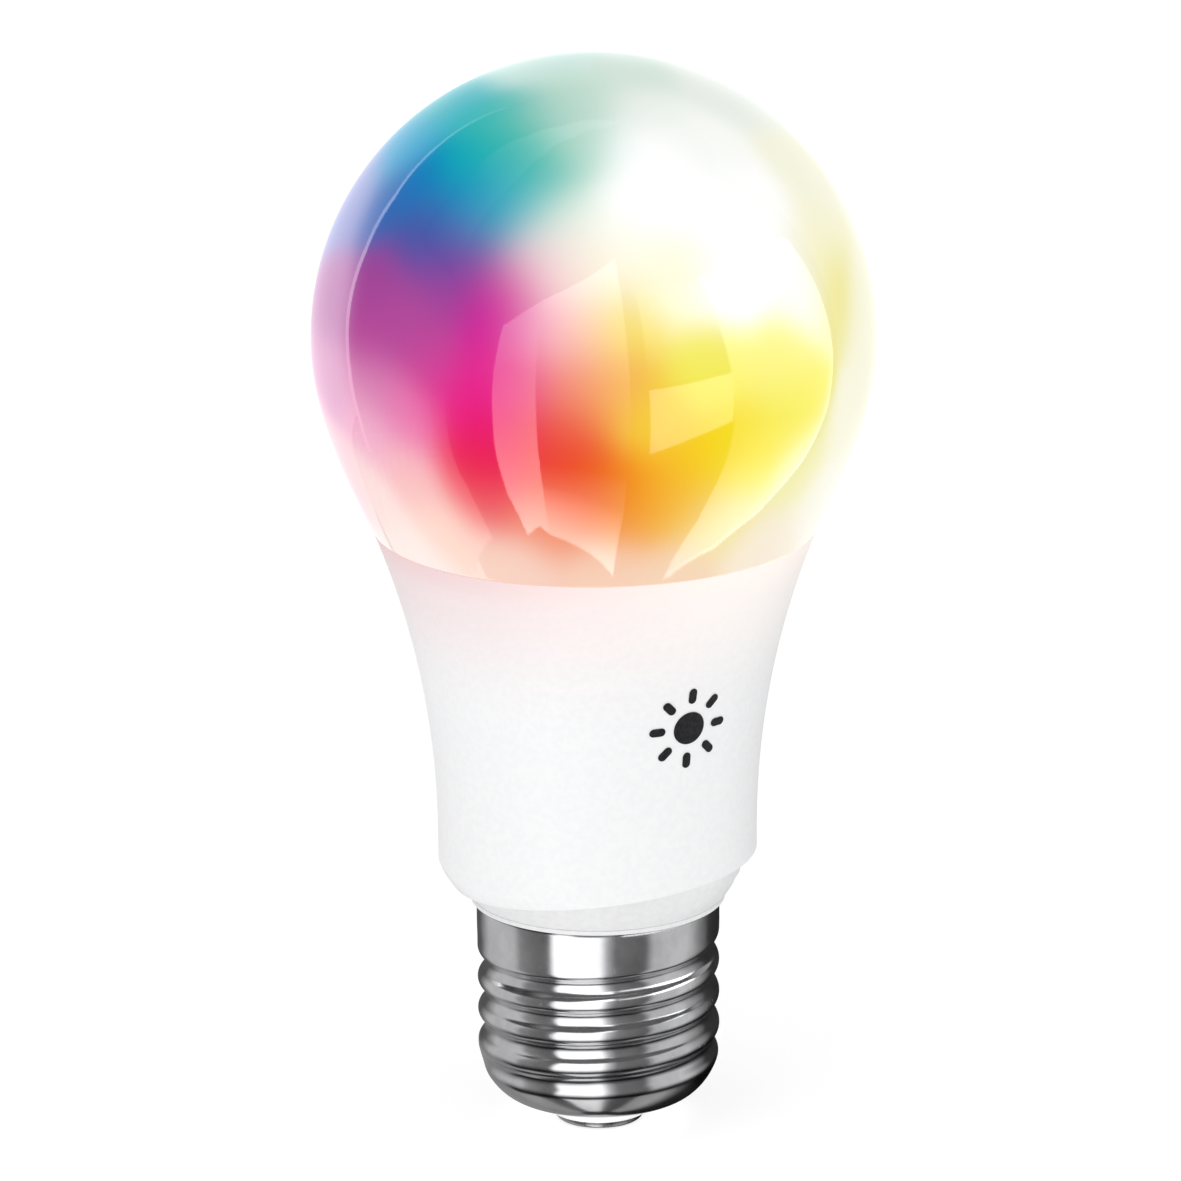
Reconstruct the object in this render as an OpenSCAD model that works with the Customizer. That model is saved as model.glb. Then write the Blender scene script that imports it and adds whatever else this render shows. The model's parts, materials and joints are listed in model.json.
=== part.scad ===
// Colour-changing smart light bulb, A60 shape, E27 screw cap.
// The bulb stands on its cap: Z is its axis, and z = 0 is the face of the centre contact.
// -Y is the front, and +X is to the right of it.

/* [Globe] */
// Diameter of the globe
globe_d = 60; // [58:0.5:62]
// Height from the contact's face to the top of the globe
overall_h = 118; // [117:0.5:119]
// Wall thickness of the diffuser
globe_wall = 1.2; // [1:0.1:1.4]
// Half angle of the cone between the sphere and the seam
globe_cone_angle = 23; // [22:0.5:24]
// Height of the seam between the globe and the sleeve
seam_z = 67.3; // [67:0.1:67.8]

/* [Sleeve] */
// Radius of the straight neck
neck_r = 17.2; // [17:0.1:17.5]
// Height where the neck starts to flare towards the globe
neck_top_z = 33; // [32:0.5:34]
// Wall thickness of the sleeve
sleeve_wall = 1.3; // [1.1:0.1:1.4]
// Radius of the rounding under the neck
bowl_arc_r = 8.8; // [8.6:0.1:9]
// Height on the axis of the slanted cut that ends the sleeve
cut_z = 29.65; // [29.4:0.05:29.9]
// Slant of that cut
cut_angle = 6.6; // [5:0.2:7]

/* [Printed symbol] */
// Outside diameter of the symbol
symbol_d = 9.2; // [7:0.2:10]
// Height of the symbol's centre
symbol_z = 49.3; // [47:0.1:52]
// Angle of the symbol round the axis, from +X
symbol_angle = -58.5; // [-90:0.5:0]

/* [Screw cap] */
// Outside diameter over the thread's crests
thread_d = 26.2; // [26.1:0.05:26.4]
// Depth of the thread
thread_depth = 0.8; // [0.7:0.05:0.95]
// Pitch, 7 turns to the inch
thread_pitch = 3.629; // [3.629]
// Number of turns of the thread
thread_turns = 3.75; // [3:0.05:3.8]
// Thickness of the cap's sheet metal
shell_wall = 0.3; // [0.25:0.05:0.35]
// Diameter of the centre contact
contact_d = 9.6; // [9.5:0.1:10]

/* [Electronics] */
// Diameter of the round LED board
led_board_d = 40; // [38:0.5:40.2]
// Number of white LEDs in the outer ring
white_led_count = 12; // [12]
// Number of colour LEDs in the inner ring
colour_led_count = 6; // [6]
// Width of the driver board above the cap
driver_w = 24; // [23:0.5:24]

/* [Hidden] */
$fn = 96;

// The globe: a sphere, then a cone that is tangent to it, down to the seam.
globe_r = globe_d / 2;
globe_z = overall_h - globe_r;
seam_r = globe_region_r(0, seam_z);

// The flare: one arc, tangent to the neck, that reaches the seam's radius at the seam.
flare_h = seam_z - neck_top_z;
flare_out = seam_r - neck_r;
flare_arc_r = (flare_h ^ 2 + flare_out ^ 2) / (2 * flare_out);
bowl_centre = [8.98, 33.1];

// The slanted cut is part of a large cylinder, so its edge rises to the right and levels off.
cut_arc_r = 250;

// The collar of the driver housing, seen under the slanted cut.
collar_bottom_z = 25.4;
collar_top_z = 31.4;
collar_arc_r = 6;
collar_centre = [9.6, 30];
collar_step = 0.2;
collar_lip = [13.75, 0.45];
crease_z = 28.2;
crease_angle = 3.4;
housing_tube_r = 14.5;
housing_wall = 1.2;
housing_top_z = 60;
spigot_r = 12.75;
spigot_step_z = 21.8;
spigot_tip_r = 11.65;
spigot_tip_z = 17;
spigot_bore_r = 10.6;
rail_size = [4.4, 1.1, 54];
rail_gap = 0.1;

// The stack under the globe.
skirt_r = 21.3;
skirt_wall = 1;
skirt_bottom_z = 64.7;
deck_top_z = 63.9;
deck_t = 1.5;
sink_wall = 1;
sink_gap = 0.1;
sink_bottom_z = 34;
pad_t = 0.25;
led_board_t = 1.2;
led_board_z = deck_top_z + pad_t;
led_board_top_z = led_board_z + led_board_t;
screw_circle_r = 17.6;
screw_count = 3;
screw_start = 30;
screw_r = 1.2;
screw_head_r = 2.1;
screw_head_h = 1.5;
screw_length = 4;
white_led_circle_r = 15.6;
white_led = [2.8, 3.5, 0.75];
colour_led_circle_r = 9.6;
colour_led = [4.6, 4.6, 1.4];
colour_led_start = 30;

// Boards that stand upright through the stack, at their y positions.
driver_y = 3;
driver_t = 1.2;
driver_bottom_z = 14.5;
driver_shoulder_z = 28.5;
driver_top_z = 58.5;
driver_tongue_w = 16;
radio_y = -1.4;
radio_t = 0.8;
radio_w = 9;
radio_bottom_z = 56;
radio_top_z = 73;
shield_size = [7.6, 1.9, 6];
slot_gap = 0.4;
led_header_y = 4.9;
pin_count = 6;
pin_pitch = 1.27;
pin_side = 0.4;

radio_header_z = radio_bottom_z + 1.3;
radio_header_reach = driver_y - radio_y - radio_t;

// Parts on the driver board, each placed by the middle of its base. The capacitors' sizes
// are radius and height.
bulk_place = [-6.4, -2.2, 30];
bulk_size = [4, 13];
output_place = [6.7, -0.9, 30];
output_size = [3.15, 10];
choke_place = [1.6, -7.6, 30];
choke_r = 3.4;
choke_h = 8;
choke_cheek = 1;
film_place = [4.8, -0.7, 40.4];
film_size = [8.2, 4.2, 3];

// Surface-mount parts on the back of the driver board, by the middle of their lower edge.
back_y = driver_y + driver_t;
stand_off = 0.1;
chip_place = [6, back_y + stand_off, 49];
chip_size = [3.9, 1.5, 4.9];
chip_lead = [1, 0.2, 0.42];
rectifier_place = [-4.5, back_y + stand_off, 36];
rectifier_size = [4.6, 2.4, 3.9];
rectifier_lead = [1, 0.2, 0.7];

// These are placed by their centres. The transformer's middle leg runs along Z.
varistor_place = [0, 0.9, 22];
varistor_t = 3.2;
resistor_place = [0, -3.6, 17.6];
resistor_l = 6;
resistor_wire_l = 8.2;
transformer_place = [-1, -3.6, 49.65];
core_size = [12.6, 6, 11.6];
leg_w = 2.6;
yoke_h = 1.9;
middle_r = 1.8;
core_gap = 0.1;
window_h = core_size.z - 2 * yoke_h;
flange_t = 0.6;
flange_w = 9;
flange_z = window_h / 2 - 0.1 - flange_t / 2;

// Where each lead of the through-hole parts starts; all of them run back to the board along Y.
bottom_lead_z = 29.4;
lead_r = 0.3;
lead_places = [
    for (side = [-1, 1]) each [
        [bulk_place.x + side * 1.75, bulk_place.y, bottom_lead_z],
        [output_place.x + side, output_place.y, bottom_lead_z],
        [choke_place.x + side * 1.5, choke_place.y, bottom_lead_z],
        film_place + [side * 2.5, film_size.y / 2, film_size.z / 2],
        transformer_place + [side * 2.8, flange_w / 2, -flange_z],
        transformer_place + [side * 2.8, flange_w / 2, flange_z],
        varistor_place + [side * 1.8, varistor_t / 2, 0],
        resistor_place + [side * (resistor_wire_l / 2 + lead_r), 0, 0],
    ]
];

// The wires from the cap.
wire_r = 0.65;
wire_sides = 16;
wire_step_h = 4.4;

// The cap.
cap_top_z = 25.35;
skirt_shell_r = thread_d / 2 + 0.05;
skirt_shell_bottom_z = 21.4;
shell_taper_z = 8.1;
shell_end_r = 9.5;
shell_end_z = 3.2;
shell_taper_power = 1.6;
thread_start_z = 20.65;
thread_start_angle = 80;
thread_ramp = 0.12;
shell_segments = 64;
shell_ring_step = thread_pitch / 9;
insulator_top_z = 5.6;
contact_t = 1.1;
contact_stem_r = 1.1;
contact_stem_z = 8;

// ---------------------------------------------------------------- outlines

// Radius of the globe's cone at height z, inset from the outer surface.
function globe_region_r(inset, z) =
    (globe_r - inset) * cos(globe_cone_angle)
    - (globe_z - (globe_r - inset) * sin(globe_cone_angle) - z) * tan(globe_cone_angle);

// Half outline of the globe, inset from its outer surface, from a height upwards.
module globe_region(inset, from_z) {
    r = globe_r - inset;
    tangent_z = globe_z - r * sin(globe_cone_angle);
    intersection() {
        translate([0, globe_z]) circle(r = r);
        translate([0, tangent_z]) square([globe_d, globe_d]);
    }
    polygon([
        [0, from_z],
        [globe_region_r(inset, from_z), from_z],
        [r * cos(globe_cone_angle), tangent_z],
        [0, tangent_z],
    ]);
}

// Half outline of the body below the seam, inset from its outer surface.
module body_region(inset, from_z, to_z) {
    intersection() {
        union() {
            translate([0, from_z]) square([neck_r - inset, neck_top_z - from_z]);
            difference() {
                translate([0, neck_top_z]) square([globe_r, to_z - neck_top_z]);
                translate([neck_r + flare_arc_r, neck_top_z]) circle(r = flare_arc_r + inset);
            }
        }
        union() {
            translate([0, bowl_centre.y - 2]) square([globe_d, globe_d]);
            translate(bowl_centre) circle(r = bowl_arc_r - inset);
        }
    }
}

// Half outline of the housing's collar, grown outwards.
module collar_region(grow, from_z, to_z) {
    intersection() {
        translate([0, from_z]) square([globe_r, to_z - from_z]);
        union() {
            translate(collar_centre) circle(r = collar_arc_r + grow);
            translate([0, collar_bottom_z - 2]) square([collar_centre.x, globe_r]);
            translate([0, collar_centre.y])
                square([collar_centre.x + collar_arc_r + grow, globe_r]);
        }
    }
}

module revolve() {
    rotate_extrude() children();
}

// Part of a large cylinder along Y, whose top surface crosses the axis at z and slants.
module slanted_below(z, angle) {
    translate([cut_arc_r * sin(angle), 0, z - cut_arc_r * cos(angle)])
        rotate([90, 0, 0])
            cylinder(r = cut_arc_r, h = globe_d * 2, center = true, $fn = 256);
}

// A ring of n copies at radius r, each turned to face outwards.
module ring_of(n, r, start = 0) {
    for (i = [0 : n - 1])
        rotate([0, 0, start + i * 360 / n]) translate([r, 0, 0]) children();
}

// A box centred in x and y, standing on z = 0.
module block(size) {
    translate([-size.x / 2, -size.y / 2, 0]) cube(size);
}

// ---------------------------------------------------------------- globe and sleeve

module globe_diffuser() {
    rim_h = 1.3;
    rim_inner_r = skirt_r - skirt_wall;
    lug_count = 4;
    lug_z = skirt_bottom_z + 0.3;
    lug_h = 0.8;
    lug_out = 0.2;
    color("white") {
        revolve() {
            difference() {
                globe_region(0, seam_z);
                globe_region(globe_wall, seam_z - 1);
            }
            // The rim inside the seam, and the skirt that drops into the sleeve.
            translate([rim_inner_r, seam_z])
                square([globe_region_r(globe_wall / 2, seam_z) - rim_inner_r, rim_h]);
            translate([rim_inner_r, skirt_bottom_z])
                square([skirt_r - rim_inner_r, seam_z + 1 - skirt_bottom_z]);
        }
        // Snap lugs on the skirt.
        ring_of(lug_count, 0, 45)
            rotate([0, 0, -8])
                rotate_extrude(angle = 16)
                    polygon([
                        [skirt_r - 0.3, lug_z],
                        [skirt_r, lug_z],
                        [skirt_r + lug_out, lug_z + lug_h - 0.3],
                        [skirt_r + lug_out, lug_z + lug_h],
                        [skirt_r - 0.3, lug_z + lug_h],
                    ]);
    }
}

// The bead of silicone that seals the skirt to the sleeve.
module globe_sealant() {
    bead = [0.5, 0.8];
    color("gainsboro")
        revolve()
            translate([skirt_r, seam_z - 0.3 - bead.y]) square(bead);
}

module outer_sleeve() {
    clearance = 0.1;
    color("white")
        difference() {
            revolve()
                difference() {
                    body_region(0, collar_bottom_z, seam_z);
                    intersection() {
                        body_region(sleeve_wall, collar_top_z, seam_z + 1);
                        translate([0, collar_top_z]) square([globe_d, globe_d]);
                    }
                    collar_region(clearance, collar_bottom_z - 1, collar_top_z + 0.1);
                }
            slanted_below(cut_z, cut_angle);
        }
}

// A generic brightness symbol: a dot with eight rays, printed on the sleeve.
module printed_symbol() {
    ink_t = 0.08;
    dot_r = symbol_d * 0.2;
    ray_count = 8;
    ray_w = symbol_d * 0.1;
    ray_start = symbol_d * 0.31;
    color("black")
        intersection() {
            rotate([0, 0, symbol_angle])
                translate([neck_r / 2, 0, symbol_z])
                    rotate([90, 0, 90])
                        linear_extrude(neck_r) {
                            circle(r = dot_r);
                            for (i = [0 : ray_count - 1])
                                rotate(i * 360 / ray_count)
                                    ray(ray_start, symbol_d / 2, ray_w);
                        }
            revolve()
                difference() {
                    body_region(-ink_t, symbol_z - symbol_d, symbol_z + symbol_d);
                    body_region(0, symbol_z - symbol_d - 1, symbol_z + symbol_d + 1);
                }
        }
}

// A straight stroke with round ends, from one radius to another.
module ray(from_r, to_r, w) {
    translate([from_r + w / 2, -w / 2]) square([to_r - from_r - w, w]);
    translate([from_r + w / 2, 0]) circle(d = w);
    translate([to_r - w / 2, 0]) circle(d = w);
}

// ---------------------------------------------------------------- heat sink and LED board

// The openings that go through the heat sink's deck, the pad and the LED board.
module stack_openings(screw_hole_r) {
    h = 10;
    slot_t = shield_size.y + radio_t + 2 * slot_gap;
    translate([0, 0, deck_top_z - h / 2]) {
        translate([0, radio_y + radio_t + slot_gap - slot_t / 2, 0])
            block([radio_w + 2 * slot_gap, slot_t, h]);
        translate([0, led_header_y, 0]) block([pin_count * pin_pitch + 0.8, 1.8, h]);
        ring_of(screw_count, screw_circle_r, screw_start) cylinder(r = screw_hole_r, h = h);
    }
}

module heat_sink() {
    outer = sleeve_wall + sink_gap;
    color("silver")
        difference() {
            union() {
                revolve()
                    difference() {
                        body_region(outer, neck_top_z - 2, deck_top_z);
                        body_region(outer + sink_wall, neck_top_z - 3, deck_top_z - deck_t);
                        square([globe_r, sink_bottom_z]);
                    }
                // Bosses under the deck for the board's screws.
                ring_of(screw_count, screw_circle_r, screw_start)
                    translate([0, 0, deck_top_z - deck_t - 2.5]) cylinder(r = 2, h = 3);
            }
            stack_openings(screw_r - 0.1);
        }
}

module thermal_pad() {
    color("lightsteelblue")
        difference() {
            translate([0, 0, deck_top_z]) cylinder(r = led_board_d / 2 - 0.8, h = pad_t);
            stack_openings(screw_r + 0.2);
        }
}

module led_board() {
    notch_r = 1.2;
    color("whitesmoke")
        difference() {
            translate([0, 0, led_board_z]) cylinder(d = led_board_d, h = led_board_t);
            stack_openings(screw_r + 0.15);
            // Two locating notches in the edge.
            for (a = [0, 180])
                rotate([0, 0, a])
                    translate([led_board_d / 2 + 0.3, 0, led_board_z - 1])
                        cylinder(r = notch_r, h = led_board_t + 2);
        }
}

// Pan-head screws with a cross recess.
module board_screws() {
    recess = [2.4, 0.55, 0.9];
    color("silver")
        ring_of(screw_count, screw_circle_r, screw_start)
            translate([0, 0, led_board_top_z])
                difference() {
                    union() {
                        cylinder(r = screw_head_r, h = screw_head_h - 0.5);
                        translate([0, 0, screw_head_h - 0.5])
                            cylinder(r1 = screw_head_r, r2 = screw_head_r - 0.6, h = 0.5);
                        translate([0, 0, -screw_length])
                            cylinder(r = screw_r - 0.15, h = screw_length + 0.1);
                    }
                    for (a = [0, 90])
                        rotate([0, 0, a])
                            translate([0, 0, screw_head_h - recess.z]) block(recess + [0, 0, 1]);
                }
}

module white_led_bodies() {
    window = [2.1, 2.8, 0.35];
    color("ivory")
        ring_of(white_led_count, white_led_circle_r, 15)
            translate([0, 0, led_board_top_z])
                difference() {
                    block(white_led);
                    translate([0, 0, white_led.z - window.z]) block(window + [0, 0, 1]);
                }
}

module white_led_phosphor() {
    window = [2.1, 2.8, 0.33];
    color("gold")
        ring_of(white_led_count, white_led_circle_r, 15)
            translate([0, 0, led_board_top_z + white_led.z - 0.35]) block(window);
}

module colour_led_bodies() {
    color("whitesmoke")
        ring_of(colour_led_count, colour_led_circle_r, colour_led_start)
            translate([0, 0, led_board_top_z])
                difference() {
                    block(colour_led);
                    translate([0, 0, 0.5]) cylinder(r1 = 1.5, r2 = 2, h = colour_led.z - 0.4);
                }
}

module colour_led_lenses() {
    color("lightcyan")
        ring_of(colour_led_count, colour_led_circle_r, colour_led_start)
            translate([0, 0, led_board_top_z + 0.5])
                cylinder(r1 = 1.5, r2 = 1.93, h = colour_led.z - 0.52);
}

// Chip resistors between the two rings of LEDs.
module led_board_resistors() {
    color("black")
        ring_of(6, 13, 30)
            translate([0, 0, led_board_top_z]) block([0.85, 1.6, 0.5]);
}

// The black socket on the LED board that the header's pins go into.
module led_socket() {
    size = [pin_count * pin_pitch + 1.2, 2.6, 2.2];
    color("dimgray")
        translate([0, led_header_y, led_board_top_z])
            difference() {
                block(size);
                translate([0, 0, -1]) pin_row([0.5, 0.5, size.z + 2]);
            }
}

// One square hole or pin for each way of a header.
module pin_row(size) {
    for (i = [0 : pin_count - 1])
        translate([(i - (pin_count - 1) / 2) * pin_pitch, 0, 0]) block(size);
}

// Angled pins: soldered to the driver board, then up through the stack into the socket.
module led_header_pins() {
    foot_z = driver_top_z - 2;
    reach = led_header_y - back_y;
    color("goldenrod") {
        translate([0, led_header_y, foot_z])
            pin_row([pin_side, pin_side, led_board_top_z + 1.6 - foot_z]);
        translate([0, led_header_y - reach / 2, foot_z]) pin_row([pin_side, reach, pin_side]);
    }
}

// ---------------------------------------------------------------- radio module

module radio_board() {
    color("darkgreen")
        translate([-radio_w / 2, radio_y, radio_bottom_z])
            cube([radio_w, radio_t, radio_top_z - radio_bottom_z]);
}

module radio_shield() {
    wall = 0.2;
    color("silver")
        translate([-shield_size.x / 2, radio_y - shield_size.y, radio_bottom_z + 2.4])
            difference() {
                cube(shield_size);
                translate([wall, wall, wall]) cube(shield_size - [2 * wall, 0, 2 * wall]);
            }
}

// A meandered copper trace on the end of the board that stands inside the globe.
module radio_antenna() {
    w = 0.5;
    t = 0.07;
    run = 6.4;
    step = 1.2;
    turns = 4;
    low_z = 67;
    color("orange")
        translate([-run / 2, radio_y - t, low_z]) {
            for (i = [0 : turns - 1])
                translate([0, 0, i * step]) cube([run, t, w]);
            for (i = [0 : turns - 2])
                translate([i % 2 == 0 ? run - w : 0, 0, i * step]) cube([w, t, step + w]);
            translate([0, 0, -1.2]) cube([w, t, 1.3]);
        }
}

module radio_crystal() {
    color("lightgray")
        translate([0, radio_y + radio_t + 0.4, radio_bottom_z + 3.5]) block([2.5, 0.8, 2]);
}

// The strip of pins that joins the radio board to the driver board.
module radio_header() {
    gap = 0.4;
    size = [pin_count * pin_pitch, 1.4, radio_header_reach - 2 * gap];
    color("dimgray")
        translate([0, radio_y + radio_t + gap, radio_header_z])
            rotate([-90, 0, 0])
                difference() {
                    block(size);
                    translate([0, 0, -1]) pin_row([pin_side, pin_side, size.z + 2]);
                }
}

module radio_header_pins() {
    color("goldenrod")
        translate([0, radio_y + radio_t, radio_header_z])
            rotate([-90, 0, 0]) pin_row([pin_side, pin_side, radio_header_reach]);
}

// ---------------------------------------------------------------- driver housing and driver

module driver_housing() {
    band_low_z = 26.8;
    overlap = 0.5;
    color("whitesmoke")
        difference() {
            union() {
                revolve() {
                    collar_region(-collar_step, collar_bottom_z, collar_top_z);
                    translate([0, collar_bottom_z]) square(collar_lip);
                    translate([0, collar_top_z - overlap])
                        square([housing_tube_r, housing_top_z - collar_top_z + overlap]);
                    translate([0, spigot_step_z])
                        square([spigot_r, collar_bottom_z - spigot_step_z + overlap]);
                    translate([0, spigot_tip_z])
                        square([spigot_tip_r, spigot_step_z - spigot_tip_z + overlap]);
                }
                // The collar's upper band stands proud above a slanted crease.
                difference() {
                    revolve() collar_region(0, band_low_z, collar_top_z);
                    slanted_below(crease_z, crease_angle);
                }
            }
            housing_bore();
        }
}

// The inside of the housing, less the rails that hold the edges of the driver board.
module housing_bore() {
    inner_r = housing_tube_r - housing_wall;
    rail_y = (driver_t + rail_size.y) / 2 + rail_gap;
    translate([0, 0, spigot_tip_z - 1]) cylinder(r = spigot_bore_r, h = 20);
    difference() {
        translate([0, 0, driver_shoulder_z - 0.5]) cylinder(r = inner_r, h = 40);
        for (side = [-1, 1], face = [-1, 1])
            translate([side * (inner_r + 0.2), driver_y + driver_t / 2 + face * rail_y, 0])
                block(rail_size);
    }
}

module driver_board() {
    color("seagreen")
        translate([0, driver_y + driver_t, 0])
            rotate([90, 0, 0])
                linear_extrude(driver_t) {
                    translate([-driver_w / 2, driver_shoulder_z])
                        square([driver_w, driver_top_z - driver_shoulder_z]);
                    translate([-driver_tongue_w / 2, driver_bottom_z])
                        square([driver_tongue_w, driver_shoulder_z - driver_bottom_z]);
                }
}

module component_leads() {
    color("silver") {
        for (p = lead_places)
            translate(p) rotate([-90, 0, 0]) cylinder(r = lead_r, h = driver_y - p.y, $fn = 24);
        // The upright parts stand on short legs above those leads.
        for (p = lead_places)
            if (p.z == bottom_lead_z)
                translate(p) cylinder(r = lead_r, h = bulk_place.z - p.z, $fn = 24);
    }
}

// A cone of solder on the back of the driver board for each lead.
module solder_joints() {
    color("silver")
        for (p = lead_places)
            translate([p.x, back_y, p.z])
                rotate([-90, 0, 0]) cylinder(r1 = 0.8, r2 = 0.35, h = 0.8);
}

// An upright capacitor's can: its rim is rolled in at the base, and the lid is scored.
module capacitor_can(r, h) {
    difference() {
        union() {
            cylinder(r = r - 0.3, h = 1);
            translate([0, 0, 1]) cylinder(r = r, h = h - 1);
        }
        for (a = [0, 90])
            rotate([0, 0, a + 45]) translate([0, 0, h - 0.2]) block([r * 1.5, 0.3, 1]);
    }
}

// The printed film round a can, with its folded edge over the lid.
module capacitor_sleeve(r, h) {
    t = 0.15;
    difference() {
        translate([0, 0, 1.2]) cylinder(r = r + t, h = h - 1.2 + t);
        translate([0, 0, 1]) cylinder(r = r, h = h - 1);
        cylinder(r = r - 0.9, h = h + 1);
    }
}

module bulk_capacitor() {
    color("silver") translate(bulk_place) capacitor_can(bulk_size.x, bulk_size.y);
}

module bulk_capacitor_sleeve() {
    color("midnightblue") translate(bulk_place) capacitor_sleeve(bulk_size.x, bulk_size.y);
}

module output_capacitor() {
    color("silver") translate(output_place) capacitor_can(output_size.x, output_size.y);
}

module output_capacitor_sleeve() {
    color("darkgreen") translate(output_place) capacitor_sleeve(output_size.x, output_size.y);
}

// Two E cores round a bobbin.
module transformer_core() {
    color("dimgray")
        translate(transformer_place)
            for (side = [0, 1])
                mirror([0, 0, side])
                    translate([0, 0, core_gap / 2]) {
                        translate([0, 0, core_size.z / 2 - yoke_h])
                            block([core_size.x, core_size.y, yoke_h]);
                        for (x = [-1, 1])
                            translate([x * (core_size.x - leg_w) / 2, 0, 0])
                                block([leg_w, core_size.y, core_size.z / 2 - 0.5]);
                        cylinder(r = middle_r, h = core_size.z / 2 - 0.5);
                    }
}

module transformer_bobbin() {
    inner_w = core_size.x - 2 * leg_w;
    gap = 0.1;
    color("black")
        translate(transformer_place)
            difference() {
                union() {
                    cylinder(r = middle_r + 0.7, h = window_h - 0.1, center = true);
                    for (z = [-flange_z, flange_z])
                        translate([0, 0, z - flange_t / 2])
                            block([inner_w - 2 * gap, flange_w, flange_t]);
                }
                cylinder(r = middle_r + gap, h = core_size.z, center = true);
            }
}

module transformer_winding() {
    color("gold")
        translate(transformer_place)
            difference() {
                cylinder(r = 3.5, h = window_h - 1.5, center = true);
                cylinder(r = middle_r + 0.7, h = window_h, center = true);
            }
}

// A drum core with its wire wound between the two cheeks.
module line_choke_core() {
    color("dimgray")
        translate(choke_place) {
            cylinder(r = choke_r, h = choke_cheek);
            cylinder(r = choke_r * 0.45, h = choke_h);
            translate([0, 0, choke_h - choke_cheek]) cylinder(r = choke_r, h = choke_cheek);
        }
}

// Turns of wire side by side, each one a ring.
module line_choke_winding() {
    wire_d = 0.6;
    space = choke_h - 2 * choke_cheek;
    turns = floor((space - 0.1) / wire_d);
    color("chocolate")
        translate(choke_place + [0, 0, choke_cheek + (space - turns * wire_d) / 2])
            rotate_extrude() {
                translate([choke_r * 0.45, 0])
                    square([choke_r * 0.4 - wire_d / 2, turns * wire_d]);
                for (i = [0 : turns - 1])
                    translate([choke_r * 0.85 - wire_d / 2, (i + 0.5) * wire_d])
                        circle(d = wire_d * 1.02);
            }
}

module film_capacitor() {
    color("goldenrod") translate(film_place) block(film_size);
}

module varistor() {
    r = 3.3;
    color("royalblue")
        translate(varistor_place)
            rotate([90, 0, 0]) {
                cylinder(r = r, h = varistor_t - 0.6, center = true);
                cylinder(r = r - 0.5, h = varistor_t, center = true);
            }
}

// An axial resistor with end caps and straight wires.
module fusible_resistor() {
    body_r = 1.4;
    color("darkseagreen")
        translate(resistor_place)
            rotate([0, 90, 0]) {
                cylinder(r = body_r, h = resistor_l, center = true);
                for (side = [-1, 1])
                    translate([0, 0, side * resistor_l / 2])
                        cylinder(r = body_r + 0.2, h = 1.2, center = true);
                cylinder(r = 0.25, h = resistor_wire_l, center = true);
            }
}

module bridge_rectifier() {
    color("black") package(rectifier_place, rectifier_size);
}

module driver_chip() {
    color("black")
        difference() {
            package(chip_place, chip_size);
            // The dimple that marks pin 1.
            translate(chip_place + [-1.2, chip_size.y - 0.15, 4])
                rotate([-90, 0, 0]) cylinder(r = 0.35, h = 1);
        }
}

// A moulded package whose front face stands off the board.
module package(place, size) {
    translate(place + [0, size.y / 2, 0]) block(size);
}

module chip_leads() {
    color("silver") {
        flat_leads(chip_place, chip_size, chip_lead, 4, 1.27);
        flat_leads(rectifier_place, rectifier_size, rectifier_lead, 2, 2.5);
    }
}

// Leads on both sides of a package, flat on the board: count on each side, at a pitch.
module flat_leads(place, size, lead, count, pitch) {
    start_z = place.z + (size.z - (count - 1) * pitch - lead.z) / 2;
    for (side = [-1, 1], i = [0 : count - 1])
        translate([place.x + side * (size.x + lead.x) / 2, place.y + lead.y / 2, start_z + i * pitch])
            block(lead);
}

// Chip resistors and capacitors on the back of the driver board.
module driver_smd_parts() {
    smd_size = [2, 0.8, 1.2];
    places = [
        [-9.5, 33], [-9.5, 36], [-9.5, 39], [0.5, 34], [0.5, 37], [0.5, 40],
        [3, 44], [6, 44], [-8, 50], [-8, 53], [-1, 48.5], [-1, 51],
    ];
    color("tan")
        for (p = places)
            package([p.x, back_y, p.y], smd_size);
}

// ---------------------------------------------------------------- wires and cap

// A wire that runs up from the origin to height h, and on its way steps sideways along +Y.
module stepped_wire(shift, h) {
    start_h = 1;
    rings = 12;
    steps = [for (i = [0 : rings]) i / rings];
    path = concat(
        [[0, 0]],
        [for (u = steps) [shift * ramp(u), start_h + u * wire_step_h]],
        [[shift, h]]
    );
    last = len(path) - 1;
    n = wire_sides;
    points = [
        for (i = [0 : last], a = [0 : n - 1])
            let (
                d = path[min(i + 1, last)] - path[max(i - 1, 0)],
                side = [d.y, -d.x] / norm(d) * wire_r * cos(a * 360 / n)
            )
            [wire_r * sin(a * 360 / n), path[i].x + side.x, path[i].y + side.y]
    ];
    faces = concat(
        [for (i = [0 : last - 1], j = [0 : n - 1], f = quad(i * n, i * n + n, j, n)) f],
        [[for (j = [n - 1 : -1 : 0]) j]],
        [[for (j = [0 : n - 1]) last * n + j]]
    );
    polyhedron(points, faces);
}

// From the contact's stem up to the front of the driver board's tongue.
module live_wire() {
    color("firebrick")
        translate([0, 0, contact_stem_z])
            stepped_wire(driver_y - wire_r - 0.02, driver_bottom_z + 3 - contact_stem_z);
}

// From the inside of the shell up to the edge of the tongue.
module neutral_wire() {
    shell_x = 10.6;
    low_z = 10.5;
    tongue_x = driver_tongue_w / 2 + wire_r + 0.02;
    color("black")
        translate([-shell_x, driver_y + driver_t / 2, low_z])
            rotate([0, 0, -90]) stepped_wire(shell_x - tongue_x, driver_bottom_z + 3 - low_z);
}

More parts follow.
